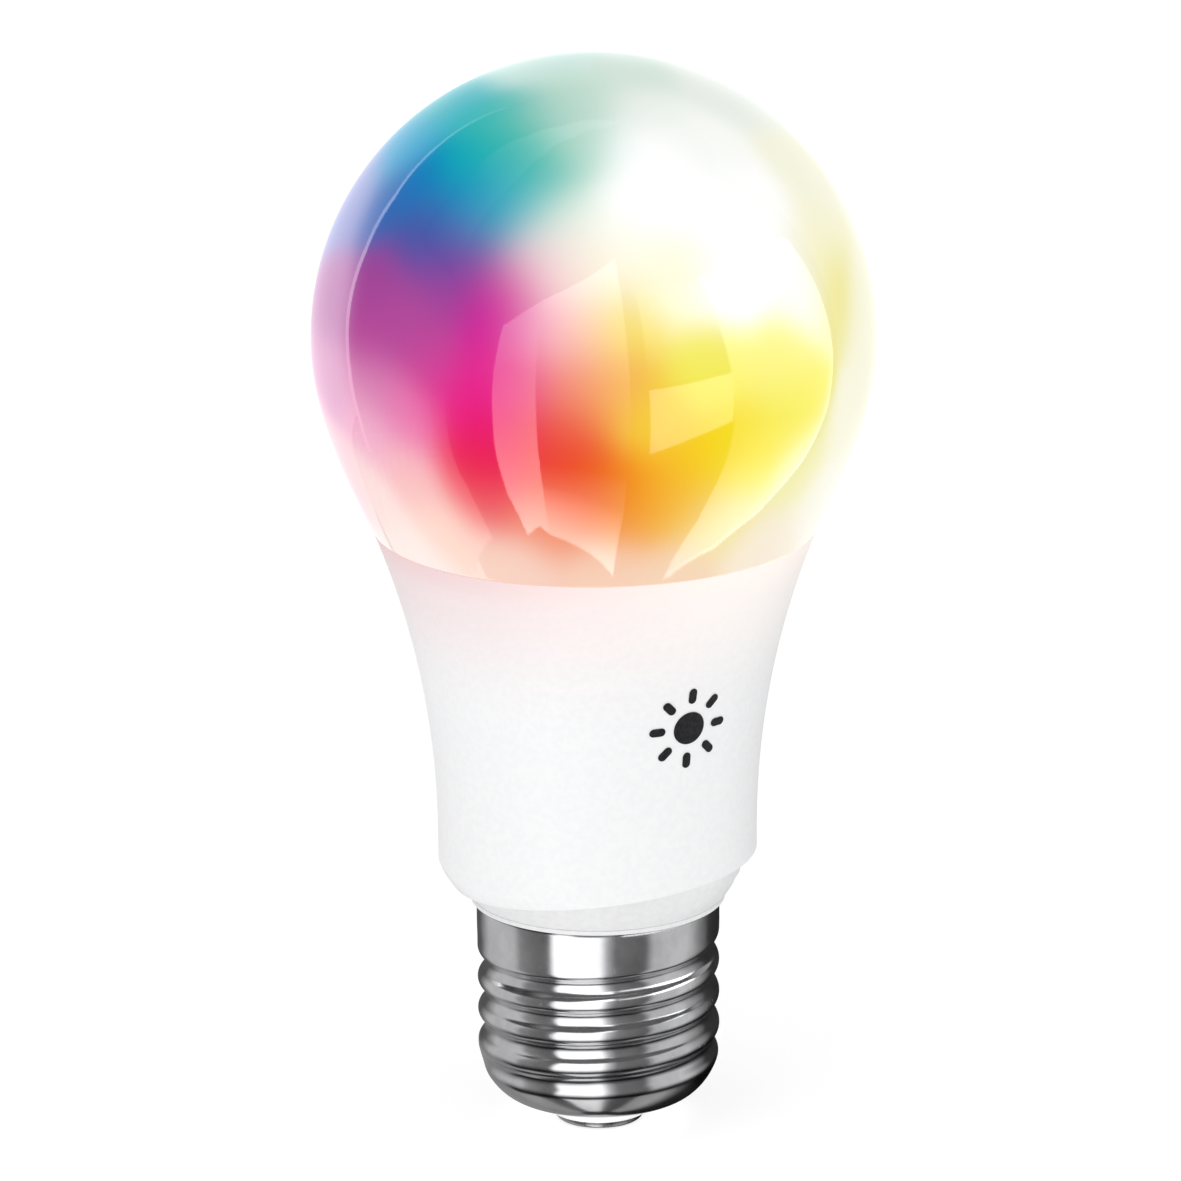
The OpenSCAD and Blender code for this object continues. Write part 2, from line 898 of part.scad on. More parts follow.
// The cap's outline before the thread is pressed in: [radius, height] from the skirt down.
function taper_point(a) =
    let (c = cos(a) ^ (2 / shell_taper_power), s = sin(a) ^ (2 / shell_taper_power))
    [
        shell_end_r + (thread_d / 2 - shell_end_r) * c,
        shell_taper_z - (shell_taper_z - shell_end_z) * s,
    ];
shell_outline = [
    for (z = [skirt_shell_bottom_z + 0.4 : -shell_ring_step : shell_taper_z + 0.2]) [thread_d / 2, z],
    for (a = [10 : 10 : 90]) taper_point(a),
];

// The unit normal of that outline at point i.
function outline_normal(i) =
    let (
        last = len(shell_outline) - 1,
        d = shell_outline[min(i + 1, last)] - shell_outline[max(i - 1, 0)]
    )
    [-d.y, d.x] / norm(d);

// The thread's profile is two equal arcs, one for the crest and one for the root.
half_pitch = thread_pitch / 2;
profile_r = (half_pitch ^ 2 + thread_depth ^ 2) / (4 * thread_depth);
function arc_drop(x) = profile_r - sqrt(profile_r ^ 2 - x ^ 2);
function groove(x) =
    x > half_pitch ? 0
    : x > half_pitch / 2 ? arc_drop(half_pitch - x)
    : thread_depth - arc_drop(x);
function ramp(t) = let (u = max(0, min(1, t))) u * u * (3 - 2 * u);

// Depth of the thread's groove at height z and angle a.
function groove_depth(z, a) =
    let (down = ((thread_start_angle - a) % 360 + 360) % 360 / 360)
    max([
        for (k = [0 : ceil(thread_turns)])
            let (turns = k + down)
            ramp(turns / thread_ramp) * ramp((thread_turns - turns) / thread_ramp)
            * groove(abs(z - thread_start_z + turns * thread_pitch))
    ]);

// A point of the shell's outer surface, or of its inner one at depth shell_wall.
function shell_point(i, a, depth) =
    let (
        p = shell_outline[i],
        q = p - outline_normal(i) * (depth + groove_depth(p.y, a))
    )
    [q.x * cos(a), q.x * sin(a), q.y];

// The threaded part of the shell: a pressed sheet, with the same helix inside and out.
module threaded_tube() {
    rings = len(shell_outline);
    n = shell_segments;
    angles = [for (j = [0 : n - 1]) j * 360 / n];
    points = concat(
        [for (i = [0 : rings - 1], a = angles) shell_point(i, a, 0)],
        [for (i = [0 : rings - 1], a = angles) shell_point(i, a, shell_wall)]
    );
    inner = rings * n;
    last = (rings - 1) * n;
    faces = concat(
        [for (i = [0 : rings - 2], j = [0 : n - 1], f = quad(i * n, i * n + n, j, n)) f],
        [for (i = [0 : rings - 2], j = [0 : n - 1], f = quad(inner + i * n + n, inner + i * n, j, n)) f],
        [for (j = [0 : n - 1], f = quad(inner, 0, j, n)) f],
        [for (j = [0 : n - 1], f = quad(last, inner + last, j, n)) f]
    );
    polyhedron(points, faces);
}

// Two triangles between ring a and ring b, at segment j of n.
function quad(a, b, j, n) =
    let (k = (j + 1) % n)
    [[a + j, a + k, b + k], [a + j, b + k, b + j]];

module screw_shell() {
    color("silver") {
        threaded_tube();
        // The plain skirt at the top.
        translate([0, 0, skirt_shell_bottom_z])
            difference() {
                cylinder(r = skirt_shell_r, h = cap_top_z - skirt_shell_bottom_z);
                translate([0, 0, -1]) cylinder(r = skirt_shell_r - shell_wall, h = 10);
            }
    }
}

module cap_insulator() {
    tip_r = contact_d / 2 + 0.5;
    tip_z = 0.9;
    color("white")
        difference() {
            revolve()
                polygon([
                    [0, tip_z],
                    [tip_r, tip_z],
                    [tip_r + 0.35, tip_z + 0.3],
                    [shell_end_r - 0.75, shell_end_z - 0.1],
                    [shell_end_r - 0.75, shell_end_z + 0.9],
                    [shell_end_r + 0.3, shell_end_z + 1.3],
                    [shell_end_r + 0.3, insulator_top_z],
                    [0, insulator_top_z],
                ]);
            cylinder(r = contact_stem_r, h = 20);
            // The seat of the contact.
            cylinder(r = contact_d / 2, h = contact_t);
            // A well on the inside.
            translate([0, 0, insulator_top_z - 1]) cylinder(r = shell_end_r - 2, h = 2);
        }
}

// A pressed button with a rounded edge and a stem that grips the live wire.
module centre_contact() {
    edge_r = 0.5;
    color("gainsboro")
        revolve() {
            square([contact_d / 2 - edge_r, contact_t]);
            translate([0, edge_r]) square([contact_d / 2, contact_t - edge_r]);
            translate([contact_d / 2 - edge_r, edge_r]) circle(r = edge_r);
            square([contact_stem_r, contact_stem_z]);
        }
}

// ---------------------------------------------------------------- nodes

globe_diffuser();
globe_sealant();
outer_sleeve();
printed_symbol();
heat_sink();
thermal_pad();
led_board();
board_screws();
white_led_bodies();
white_led_phosphor();
colour_led_bodies();
colour_led_lenses();
led_board_resistors();
led_socket();
led_header_pins();
radio_board();
radio_shield();
radio_antenna();
radio_crystal();
radio_header();
radio_header_pins();
driver_housing();
driver_board();
component_leads();
solder_joints();
bulk_capacitor();
bulk_capacitor_sleeve();
output_capacitor();
output_capacitor_sleeve();
transformer_core();
transformer_bobbin();
transformer_winding();
line_choke_core();
line_choke_winding();
film_capacitor();
varistor();
fusible_resistor();
bridge_rectifier();
driver_chip();
chip_leads();
driver_smd_parts();
live_wire();
neutral_wire();
screw_shell();
cap_insulator();
centre_contact();
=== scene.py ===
"""Builds the looks of a colour-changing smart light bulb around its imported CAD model.

Outlines are lists of (radius, height) in millimetres, as in the CAD source. Everything in Blender is in
metres.
"""
import json
import math

import bpy
from mathutils import Matrix, Vector


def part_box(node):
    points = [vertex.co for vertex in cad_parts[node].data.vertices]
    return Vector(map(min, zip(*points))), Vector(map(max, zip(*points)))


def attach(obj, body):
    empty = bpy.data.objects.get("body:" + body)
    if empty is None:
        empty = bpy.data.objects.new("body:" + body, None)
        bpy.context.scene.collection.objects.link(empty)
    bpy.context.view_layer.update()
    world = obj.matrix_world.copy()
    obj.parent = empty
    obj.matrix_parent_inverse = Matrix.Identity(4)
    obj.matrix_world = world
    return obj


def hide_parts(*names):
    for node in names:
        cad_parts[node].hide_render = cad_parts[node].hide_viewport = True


MM = 0.001

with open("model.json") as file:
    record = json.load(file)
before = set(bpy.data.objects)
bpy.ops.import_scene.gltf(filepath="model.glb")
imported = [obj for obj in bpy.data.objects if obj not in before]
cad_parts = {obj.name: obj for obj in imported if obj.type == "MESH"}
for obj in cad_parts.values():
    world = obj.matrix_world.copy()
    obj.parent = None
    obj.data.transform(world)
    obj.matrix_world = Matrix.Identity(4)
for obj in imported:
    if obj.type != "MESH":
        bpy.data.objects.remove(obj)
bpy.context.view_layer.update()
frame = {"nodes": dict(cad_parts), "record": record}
nodes = frame["nodes"]


# ---------------------------------------------------------------- sizes, in millimetres

def box_mm(name):
    """Lowest and highest corner of a CAD node, in millimetres."""
    low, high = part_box(name)
    return low / MM, high / MM


globe_low, globe_high = box_mm("globe_diffuser")
sleeve_high = box_mm("outer_sleeve")[1]
shell_low, shell_high = box_mm("screw_shell")
insulator_low, insulator_high = box_mm("cap_insulator")
contact_high = box_mm("centre_contact")[1]

# The globe: a sphere on a cone that ends at the seam. FOOT_ANGLE and SEAM_SLOPE are in degrees.
GLOBE_R = min(-globe_low.x, globe_high.x)
GLOBE_Z = globe_high.z - GLOBE_R
GLOBE_WALL = 1.2
CONE_ANGLE = math.radians(23)
FOOT_ANGLE = 17
SEAM_SLOPE = 26
SEAM_Z = sleeve_high.z
SEAM_R = sleeve_high.x - 0.02

# The globe's skirt, inside the sleeve.
SKIRT_R = 21.3
SKIRT_WALL = 1.0
RIM_HEIGHT = 1.3

# The sleeve: a straight neck, the bowl under it, the room for the housing's collar, and the slanted cut. The
# corner between bowl and neck is eased by NECK_EASE, and the edge of the lip by LIP_EASE.
NECK_R = 17.2
NECK_TOP_Z = 33.0
NECK_EASE = 0.06
LIP_EASE = 0.12
SLEEVE_WALL = 1.3
BOWL_CENTRE = (8.98, 33.1)
BOWL_R = 8.8
COLLAR_CENTRE = (9.6, 30.0)
COLLAR_R = 6.1
COLLAR_TOP_Z = 31.5
COLLAR_LOW_Z = 25.4
CUT_R = 250.0
CUT_ANGLE = math.radians(6.6)
CUT_Z = 29.65
CUT_ROUNDS = 30

# The cap: a plain skirt, a right-handed thread that starts under it, and a tapered end.
SHELL_WALL = 0.3
SKIRT_SHELL_R = shell_high.x - 0.01
THREAD_R = 13.1
THREAD_DEPTH = 0.8
PITCH = 3.629
THREAD_TURNS = 3.75
THREAD_START_Z = 20.65
THREAD_START_ANGLE = math.radians(80)
THREAD_RAMP = 0.12
NARROWS_Z = (21.0, 22.6)
TAPER_Z = 8.1
TAPER_POWER = 1.6
SHELL_END = (9.5, shell_low.z)
CONTACT_R = contact_high.x - 0.01


# ---------------------------------------------------------------- meshes

def arc(centre, radius, start, end, steps):
    """Points along an arc, from one angle to another in degrees."""
    angles = [math.radians(start + (end - start) * i / steps) for i in range(steps + 1)]
    return [(centre[0] + radius * math.cos(a), centre[1] + radius * math.sin(a)) for a in angles]


def eased(before, corner, after, radius, steps=3):
    """A corner of an outline, rounded with a small arc that starts and ends on its two sides."""
    corner = Vector(corner)
    to_before = (Vector(before) - corner).normalized() * radius
    to_after = (Vector(after) - corner).normalized() * radius
    points = []
    for i in range(steps + 1):
        t = i / steps
        point = corner + to_before * (1 - t) ** 2 + to_after * t ** 2
        points.append((point.x, point.y))
    return points


def make_object(name, points, faces, crease=25.0):
    """A mesh object from points in millimetres, smooth but for edges sharper than the crease angle."""
    mesh = bpy.data.meshes.new(name)
    mesh.from_pydata([(x * MM, y * MM, z * MM) for x, y, z in points], [], faces)
    mesh.validate()
    mesh.shade_smooth()
    mesh.set_sharp_from_angle(angle=math.radians(crease))
    made = bpy.data.objects.new(name, mesh)
    bpy.context.scene.collection.objects.link(made)
    return made


def revolved(name, column, segments, crease=25.0):
    """A solid whose outline at each angle round the axis is column(angle).

    An outline that starts and ends on the axis is closed there with poles. Any other is a closed loop.
    """
    columns = [column(2 * math.pi * j / segments) for j in range(segments)]
    count = len(columns[0])
    on_axis = columns[0][0][0] == 0 and columns[0][-1][0] == 0
    rows = range(1, count - 1) if on_axis else range(count)
    points, faces = [], []
    for i in rows:
        for j in range(segments):
            angle = 2 * math.pi * j / segments
            radius, z = columns[j][i]
            points.append((radius * math.cos(angle), radius * math.sin(angle), z))
    bands = len(rows)
    for i in range(bands - 1 if on_axis else bands):
        a, b = i * segments, (i + 1) % bands * segments
        for j in range(segments):
            k = (j + 1) % segments
            faces.append((a + j, a + k, b + k, b + j))
    if on_axis:
        first, last = len(points), len(points) + 1
        points += [(0, 0, columns[0][0][1]), (0, 0, columns[0][-1][1])]
        end = (bands - 1) * segments
        for j in range(segments):
            k = (j + 1) % segments
            faces.append((first, k, j))
            faces.append((last, end + j, end + k))
    return make_object(name, points, faces, crease)


def joined(name, objects):
    """Several mesh objects as one, with closed parts side by side."""
    points, faces = [], []
    for piece in objects:
        start = len(points)
        points += [tuple(v.co / MM) for v in piece.data.vertices]
        faces += [tuple(start + i for i in p.vertices) for p in piece.data.polygons]
        mesh = piece.data
        bpy.data.objects.remove(piece)
        bpy.data.meshes.remove(mesh)
    return make_object(name, points, faces)


def stands_for(piece, node):
    """The piece replaces a CAD node: it rides on the bulb, and the node is hidden."""
    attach(piece, "root")
    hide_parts(node)
    return piece


# ---------------------------------------------------------------- globe

def globe_cone_r(inset, z):
    """Radius of the globe's cone at a height, inset from the outer surface."""
    radius = GLOBE_R - inset
    tangent_z = GLOBE_Z - radius * math.sin(CONE_ANGLE)
    return radius * math.cos(CONE_ANGLE) - (tangent_z - z) * math.tan(CONE_ANGLE)


def globe_foot(steps):
    """The outline from the seam up to the sphere: one curve that straightens towards the seam."""
    low = Vector((globe_cone_r(0, SEAM_Z), SEAM_Z))
    leaves = math.radians(FOOT_ANGLE)
    high = Vector((GLOBE_R * math.cos(leaves), GLOBE_Z - GLOBE_R * math.sin(leaves)))
    reach = (high - low).length
    start = Vector((math.sin(math.radians(SEAM_SLOPE)), math.cos(math.radians(SEAM_SLOPE)))) * reach
    end = Vector((math.sin(leaves), math.cos(leaves))) * reach
    points = []
    for i in range(steps):
        t = i / steps
        point = (
            low * (2 * t ** 3 - 3 * t ** 2 + 1) + start * (t ** 3 - 2 * t ** 2 + t)
            + high * (3 * t ** 2 - 2 * t ** 3) + end * (t ** 3 - t ** 2)
        )
        points.append((point.x, point.y))
    return points


def globe_outline():
    inner = GLOBE_R - GLOBE_WALL
    rim_z = SEAM_Z + RIM_HEIGHT
    skirt_low = globe_low.z
    skirt_inner = SKIRT_R - SKIRT_WALL
    foot = globe_foot(40)
    return [
        (0, GLOBE_Z + inner),
        *arc((0, GLOBE_Z), inner, 90, -23, 60)[1:],
        (globe_cone_r(GLOBE_WALL, rim_z), rim_z),
        (skirt_inner, rim_z),
        (skirt_inner, skirt_low),
        (SKIRT_R - 0.2, skirt_low),
        (SKIRT_R, skirt_low + 0.2),
        (SKIRT_R, SEAM_Z),
        *eased((SKIRT_R, SEAM_Z), foot[0], foot[4], 0.18),
        *foot[1:],
        *arc((0, GLOBE_Z), GLOBE_R, -FOOT_ANGLE, 90, 110)[:-1],
        (0, globe_high.z),
    ]


def lug(number):
    """A snap lug on the globe's skirt: a short ramp with a flat top."""
    low, height, out, half_width = globe_low.z + 0.3, 0.8, 0.2, 8
    profile = [
        (SKIRT_R - 0.3, low),
        (SKIRT_R, low),
        (SKIRT_R + out, low + height - 0.3),
        (SKIRT_R + out, low + height),
        (SKIRT_R - 0.3, low + height),
    ]
    steps, count = 8, len(profile)
    points = []
    for i in range(steps + 1):
        angle = math.radians(45 + 90 * number - half_width + 2 * half_width * i / steps)
        points += [(r * math.cos(angle), r * math.sin(angle), z) for r, z in profile]
    faces = [tuple(range(count))[::-1], tuple(steps * count + i for i in range(count))]
    for i in range(steps):
        for j in range(count):
            a, k = i * count, (j + 1) % count
            faces.append((a + j, a + k, a + count + k, a + count + j))
    return make_object("lug", points, faces)


outline = globe_outline()
globe = joined("globe", [revolved("shell", lambda angle: outline, 192)] + [lug(i) for i in range(4)])
stands_for(globe, "globe_diffuser")


# ---------------------------------------------------------------- sleeve

def cut_height(x):
    """Height of the slanted cut that ends the sleeve, which is a shallow arc from side to side."""
    middle_x, middle_z = CUT_R * math.sin(CUT_ANGLE), CUT_Z - CUT_R * math.cos(CUT_ANGLE)
    return middle_z + math.sqrt(CUT_R ** 2 - (x - middle_x) ** 2)


def sleeve_outer_r(z):
    """Radius of the sleeve's outside below the flare: the bowl, eased into the straight neck."""
    bowl = BOWL_CENTRE[0] + math.sqrt(BOWL_R ** 2 - (z - BOWL_CENTRE[1]) ** 2)
    share = min(1.0, max(0.0, 0.5 + (bowl - NECK_R) / (2 * NECK_EASE)))
    return bowl + (NECK_R - bowl) * share - NECK_EASE * share * (1 - share)


def sleeve_inner_r(z):
    """Radius of the sleeve's inside round the collar: an arc, and straight above the arc's widest height."""
    below = max(0.0, COLLAR_CENTRE[1] - z)
    return COLLAR_CENTRE[0] + math.sqrt(COLLAR_R ** 2 - below ** 2)


def meets_cut(radius_at, along_x):
    """Where a side of the sleeve's wall, at an angle round the axis, meets the slanted cut."""
    z = CUT_Z
    for _ in range(CUT_ROUNDS):
        z = cut_height(radius_at(z) * along_x)
    return radius_at(z), z


def up_the_wall(radius_at, start_z, end_z, steps):
    """Points on one side of the wall between two heights."""
    heights = [start_z + (end_z - start_z) * i / steps for i in range(steps + 1)]
    return [(radius_at(z), z) for z in heights]


def flare(inset, start_z, end_z, steps):
    """The sleeve's flare between two heights, inset from its outer surface."""
    height, out = SEAM_Z - NECK_TOP_Z, SEAM_R - NECK_R
    radius = (height ** 2 + out ** 2) / (2 * out)
    heights = [start_z + (end_z - start_z) * i / steps for i in range(steps + 1)]
    return [
        (NECK_R + radius - math.sqrt((radius + inset) ** 2 - (z - NECK_TOP_Z) ** 2), z)
        for z in heights
    ]


def sleeve_column(angle):
    """The sleeve's wall at an angle: from its lower lip up the outside, and down the inside."""
    along_x = math.cos(angle)
    lip_outer = meets_cut(sleeve_outer_r, along_x)
    lip_inner = meets_cut(sleeve_inner_r, along_x)
    outside = up_the_wall(sleeve_outer_r, lip_outer[1] + LIP_EASE * 1.2, NECK_TOP_Z, 32)
    top_outer = (SEAM_R, SEAM_Z)
    top_inner = flare(SLEEVE_WALL, SEAM_Z, SEAM_Z, 1)[0]
    return [
        *eased(lip_inner, lip_outer, outside[0], LIP_EASE),
        *outside,
        *flare(0, NECK_TOP_Z, SEAM_Z, 48)[1:-1],
        *eased((SEAM_R - 1, SEAM_Z - 3), top_outer, top_inner, 0.12),
        top_inner,
        *flare(SLEEVE_WALL, SEAM_Z, NECK_TOP_Z, 24)[1:],
        (NECK_R - SLEEVE_WALL, COLLAR_TOP_Z),
        *up_the_wall(sleeve_inner_r, COLLAR_TOP_Z, lip_inner[1], 16),
    ]


sleeve = revolved("sleeve", sleeve_column, 192, crease=14.0)
stands_for(sleeve, "outer_sleeve")


# ---------------------------------------------------------------- screw cap

def shell_outline():
    """The cap before the thread is pressed in, from the top of the skirt to the crimped end."""
    top, step, taper_steps = shell_high.z, 0.1, 36
    points = [
        (SKIRT_SHELL_R - 0.22, top - 0.02),
        (SKIRT_SHELL_R - 0.06, top - 0.05),
        (SKIRT_SHELL_R, top - 0.2),
    ]
    z = top - 0.6
    while z > TAPER_Z + step / 2:
        blend = min(1.0, max(0.0, (NARROWS_Z[1] - z) / (NARROWS_Z[1] - NARROWS_Z[0])))
        points.append((SKIRT_SHELL_R + (THREAD_R - SKIRT_SHELL_R) * blend, z))
        z -= step
    end_r, end_z = SHELL_END
    for i in range(1, taper_steps + 1):
        angle = math.radians(90 * i / taper_steps)
        c, s = math.cos(angle) ** (2 / TAPER_POWER), math.sin(angle) ** (2 / TAPER_POWER)
        points.append((end_r + (THREAD_R - end_r) * c, TAPER_Z - (TAPER_Z - end_z) * s))
    return points


def groove(x):
    """Depth of the thread's groove at a distance from its centre.

    Its section is made of equal arcs, one for the root and one for each crest.
    """
    half = PITCH / 2
    radius = (half ** 2 + THREAD_DEPTH ** 2) / (4 * THREAD_DEPTH)
    if x > half:
        return 0.0
    if x > half / 2:
        return radius - math.sqrt(radius ** 2 - (half - x) ** 2)
    return THREAD_DEPTH - radius + math.sqrt(radius ** 2 - x ** 2)


def smooth_step(t):
    t = max(0.0, min(1.0, t))
    return t * t * (3 - 2 * t)


def groove_depth(z, angle):
    """How deep the thread is at a point on the cap. It fades in and out over a short ramp at its two ends."""
    down = (THREAD_START_ANGLE - angle) % (2 * math.pi) / (2 * math.pi)
    depth = 0.0
    for k in range(math.ceil(THREAD_TURNS) + 1):
        turns = k + down
        fade = smooth_step(turns / THREAD_RAMP) * smooth_step((THREAD_TURNS - turns) / THREAD_RAMP)
        depth = max(depth, fade * groove(abs(z - THREAD_START_Z + turns * PITCH)))
    return depth


shell_points = shell_outline()
shell_normals = []
for i in range(len(shell_points)):
    ahead = Vector(shell_points[min(i + 1, len(shell_points) - 1)])
    behind = Vector(shell_points[max(i - 1, 0)])
    along = (ahead - behind).normalized()
    shell_normals.append(Vector((-along.y, along.x)))


def shell_column(angle):
    """The cap's wall at an angle: up the outside, and down the inside with half as many points."""
    outside, inside = [], []
    for i, (point, normal) in enumerate(zip(shell_points, shell_normals)):
        depth = groove_depth(point[1], angle)
        outside.append(tuple(Vector(point) - normal * depth))
        if i % 2 == 0:
            inside.append(tuple(Vector(point) - normal * (depth + SHELL_WALL)))
    return outside[::-1] + inside


shell = revolved("screw_cap", shell_column, 224, crease=40.0)
stands_for(shell, "screw_shell")


def insulator_outline():
    tip_r, tip_z = CONTACT_R + 0.5, insulator_low.z
    edge_r, top_r = SHELL_END[0] - 0.75, insulator_high.x - 0.01
    top_z = insulator_high.z
    stem_r, seat_z, well_r = 1.1, 1.1, SHELL_END[0] - 2
    end_z = SHELL_END[1]
    return [
        (stem_r, seat_z),
        (CONTACT_R, seat_z),
        (CONTACT_R, tip_z),
        *eased((CONTACT_R, tip_z), (tip_r, tip_z), (tip_r + 0.35, tip_z + 0.3), 0.15),
        (tip_r + 0.35, tip_z + 0.3),
        (edge_r - 0.1, end_z - 0.13),
        (edge_r, end_z),
        (edge_r, end_z + 0.9),
        (top_r, end_z + 1.3),
        (top_r, top_z),
        (well_r, top_z),
        (well_r, top_z - 1),
        (stem_r, top_z - 1),
    ]


insulator_points = insulator_outline()
insulator = revolved("insulator", lambda angle: insulator_points, 128)
stands_for(insulator, "cap_insulator")


def contact_outline():
    edge_r, thickness, stem_r = 0.5, 1.1, 1.1
    return [
        (0, 0),
        (CONTACT_R - edge_r, 0),
        *arc((CONTACT_R - edge_r, edge_r), edge_r, -75, 0, 6),
        (CONTACT_R, thickness),
        (stem_r, thickness),
        (stem_r, contact_high.z - 0.2),
        (stem_r - 0.2, contact_high.z),
        (0, contact_high.z),
    ]


contact_points = contact_outline()
contact = revolved("contact", lambda angle: contact_points, 96)
stands_for(contact, "centre_contact")


# ---------------------------------------------------------------- material helpers

def linear(red, green, blue):
    """A colour given as 0 to 255 values, as the renderer wants it."""
    return tuple(
        v / 12.92 if v <= 0.04045 else ((v + 0.055) / 1.055) ** 2.4
        for v in (red / 255, green / 255, blue / 255)
    ) + (1.0,)


def add(tree, kind, inputs=None, **settings):
    """Adds a shader node. An input may be a number, a colour or another node's output."""
    made = tree.nodes.new("ShaderNode" + kind)
    for key, value in settings.items():
        setattr(made, key, value)
    for key, value in (inputs or {}).items():
        if isinstance(value, bpy.types.NodeSocket):
            tree.links.new(value, made.inputs[key])
        else:
            made.inputs[key].default_value = value
    return made


def place(tree):
    """The point on the surface, in the bulb's own frame, in metres."""
    return add(tree, "TexCoord").outputs["Object"]


def maths(tree, operation, a, b=0.0, c=0.0, clamp=False):
    return add(tree, "Math", {0: a, 1: b, 2: c}, operation=operation, use_clamp=clamp).outputs[0]


def vector_maths(tree, operation, a, b=(0, 0, 0)):
    return add(tree, "VectorMath", {0: a, 1: b}, operation=operation).outputs[0]


def scaled(tree, vector, factor):
    """A vector or colour times a number."""
    return add(tree, "VectorMath", {0: vector, "Scale": factor}, operation="SCALE").outputs[0]


def facing(tree, outward, azimuth, elevation):
    """1 where a unit vector points in a direction, and -1 where it points away from it."""
    towards = {0: outward, 1: direction(azimuth, elevation)}
    return add(tree, "VectorMath", towards, operation="DOT_PRODUCT").outputs["Value"]


def mixed(tree, factor, a, b):
    """Colour a where the factor is 0 and b where it is 1."""
    made = add(tree, "Mix", data_type="RGBA")
    for socket, value in (("Factor_Float", factor), ("A_Color", a), ("B_Color", b)):
        found = next(s for s in made.inputs if s.identifier == socket)
        if isinstance(value, bpy.types.NodeSocket):
            tree.links.new(value, found)
        else:
            found.default_value = value
    return next(s for s in made.outputs if s.identifier == "Result_Color")


def ranged(tree, value, low, high, to_low=0.0, to_high=1.0, smooth=True):
    """Carries a value over from one range to another, and keeps it between the other's ends."""
    limits = {"Value": value, "From Min": low, "From Max": high, "To Min": to_low, "To Max": to_high}
    kind = "SMOOTHSTEP" if smooth else "LINEAR"
    return add(tree, "MapRange", limits, interpolation_type=kind).outputs["Result"]


def noise(tree, where, size_mm, detail=3.0, roughness=0.5):
    """Noise from 0 to 1 whose blobs are about size_mm across."""
    inputs = {"Vector": where, "Scale": 0.5 / (size_mm * MM), "Detail": detail, "Roughness": roughness}
    return add(tree, "TexNoise", inputs).outputs["Fac"]


def bumped(tree, height, distance_mm, strength):
    inputs = {"Height": height, "Distance": distance_mm * MM, "Strength": strength}
    return add(tree, "Bump", inputs).outputs["Normal"]


def new_material(name):
    """A new material, its node tree and its Principled shader."""
    material = bpy.data.materials.new(name)
    material.use_nodes = True
    return material, material.node_tree, material.node_tree.nodes["Principled BSDF"]


def feed(tree, shader, **inputs):
    """Sets the shader's inputs, whose names have _ for a space, to numbers or to other nodes' outputs."""
    for key, value in inputs.items():
        socket = shader.inputs[key.replace("_", " ")]
        if isinstance(value, bpy.types.NodeSocket):
            tree.links.new(value, socket)
        else:
            socket.default_value = value


# ---------------------------------------------------------------- the globe's light

BLUE, INDIGO, TEAL = (8, 128, 198), (70, 84, 168), (8, 178, 190)
PURPLE, VIOLET, MAGENTA, RED = (164, 70, 155), (188, 74, 157), (240, 30, 142), (240, 36, 78)
FLAME, AMBER, YELLOW = (240, 68, 30), (252, 178, 40), (252, 228, 14)
PINK, PALE_PINK, CREAM = (240, 120, 178), (252, 204, 214), (258, 246, 226)
PALE_GREEN, WHITE = (196, 230, 214), (268, 268, 268)

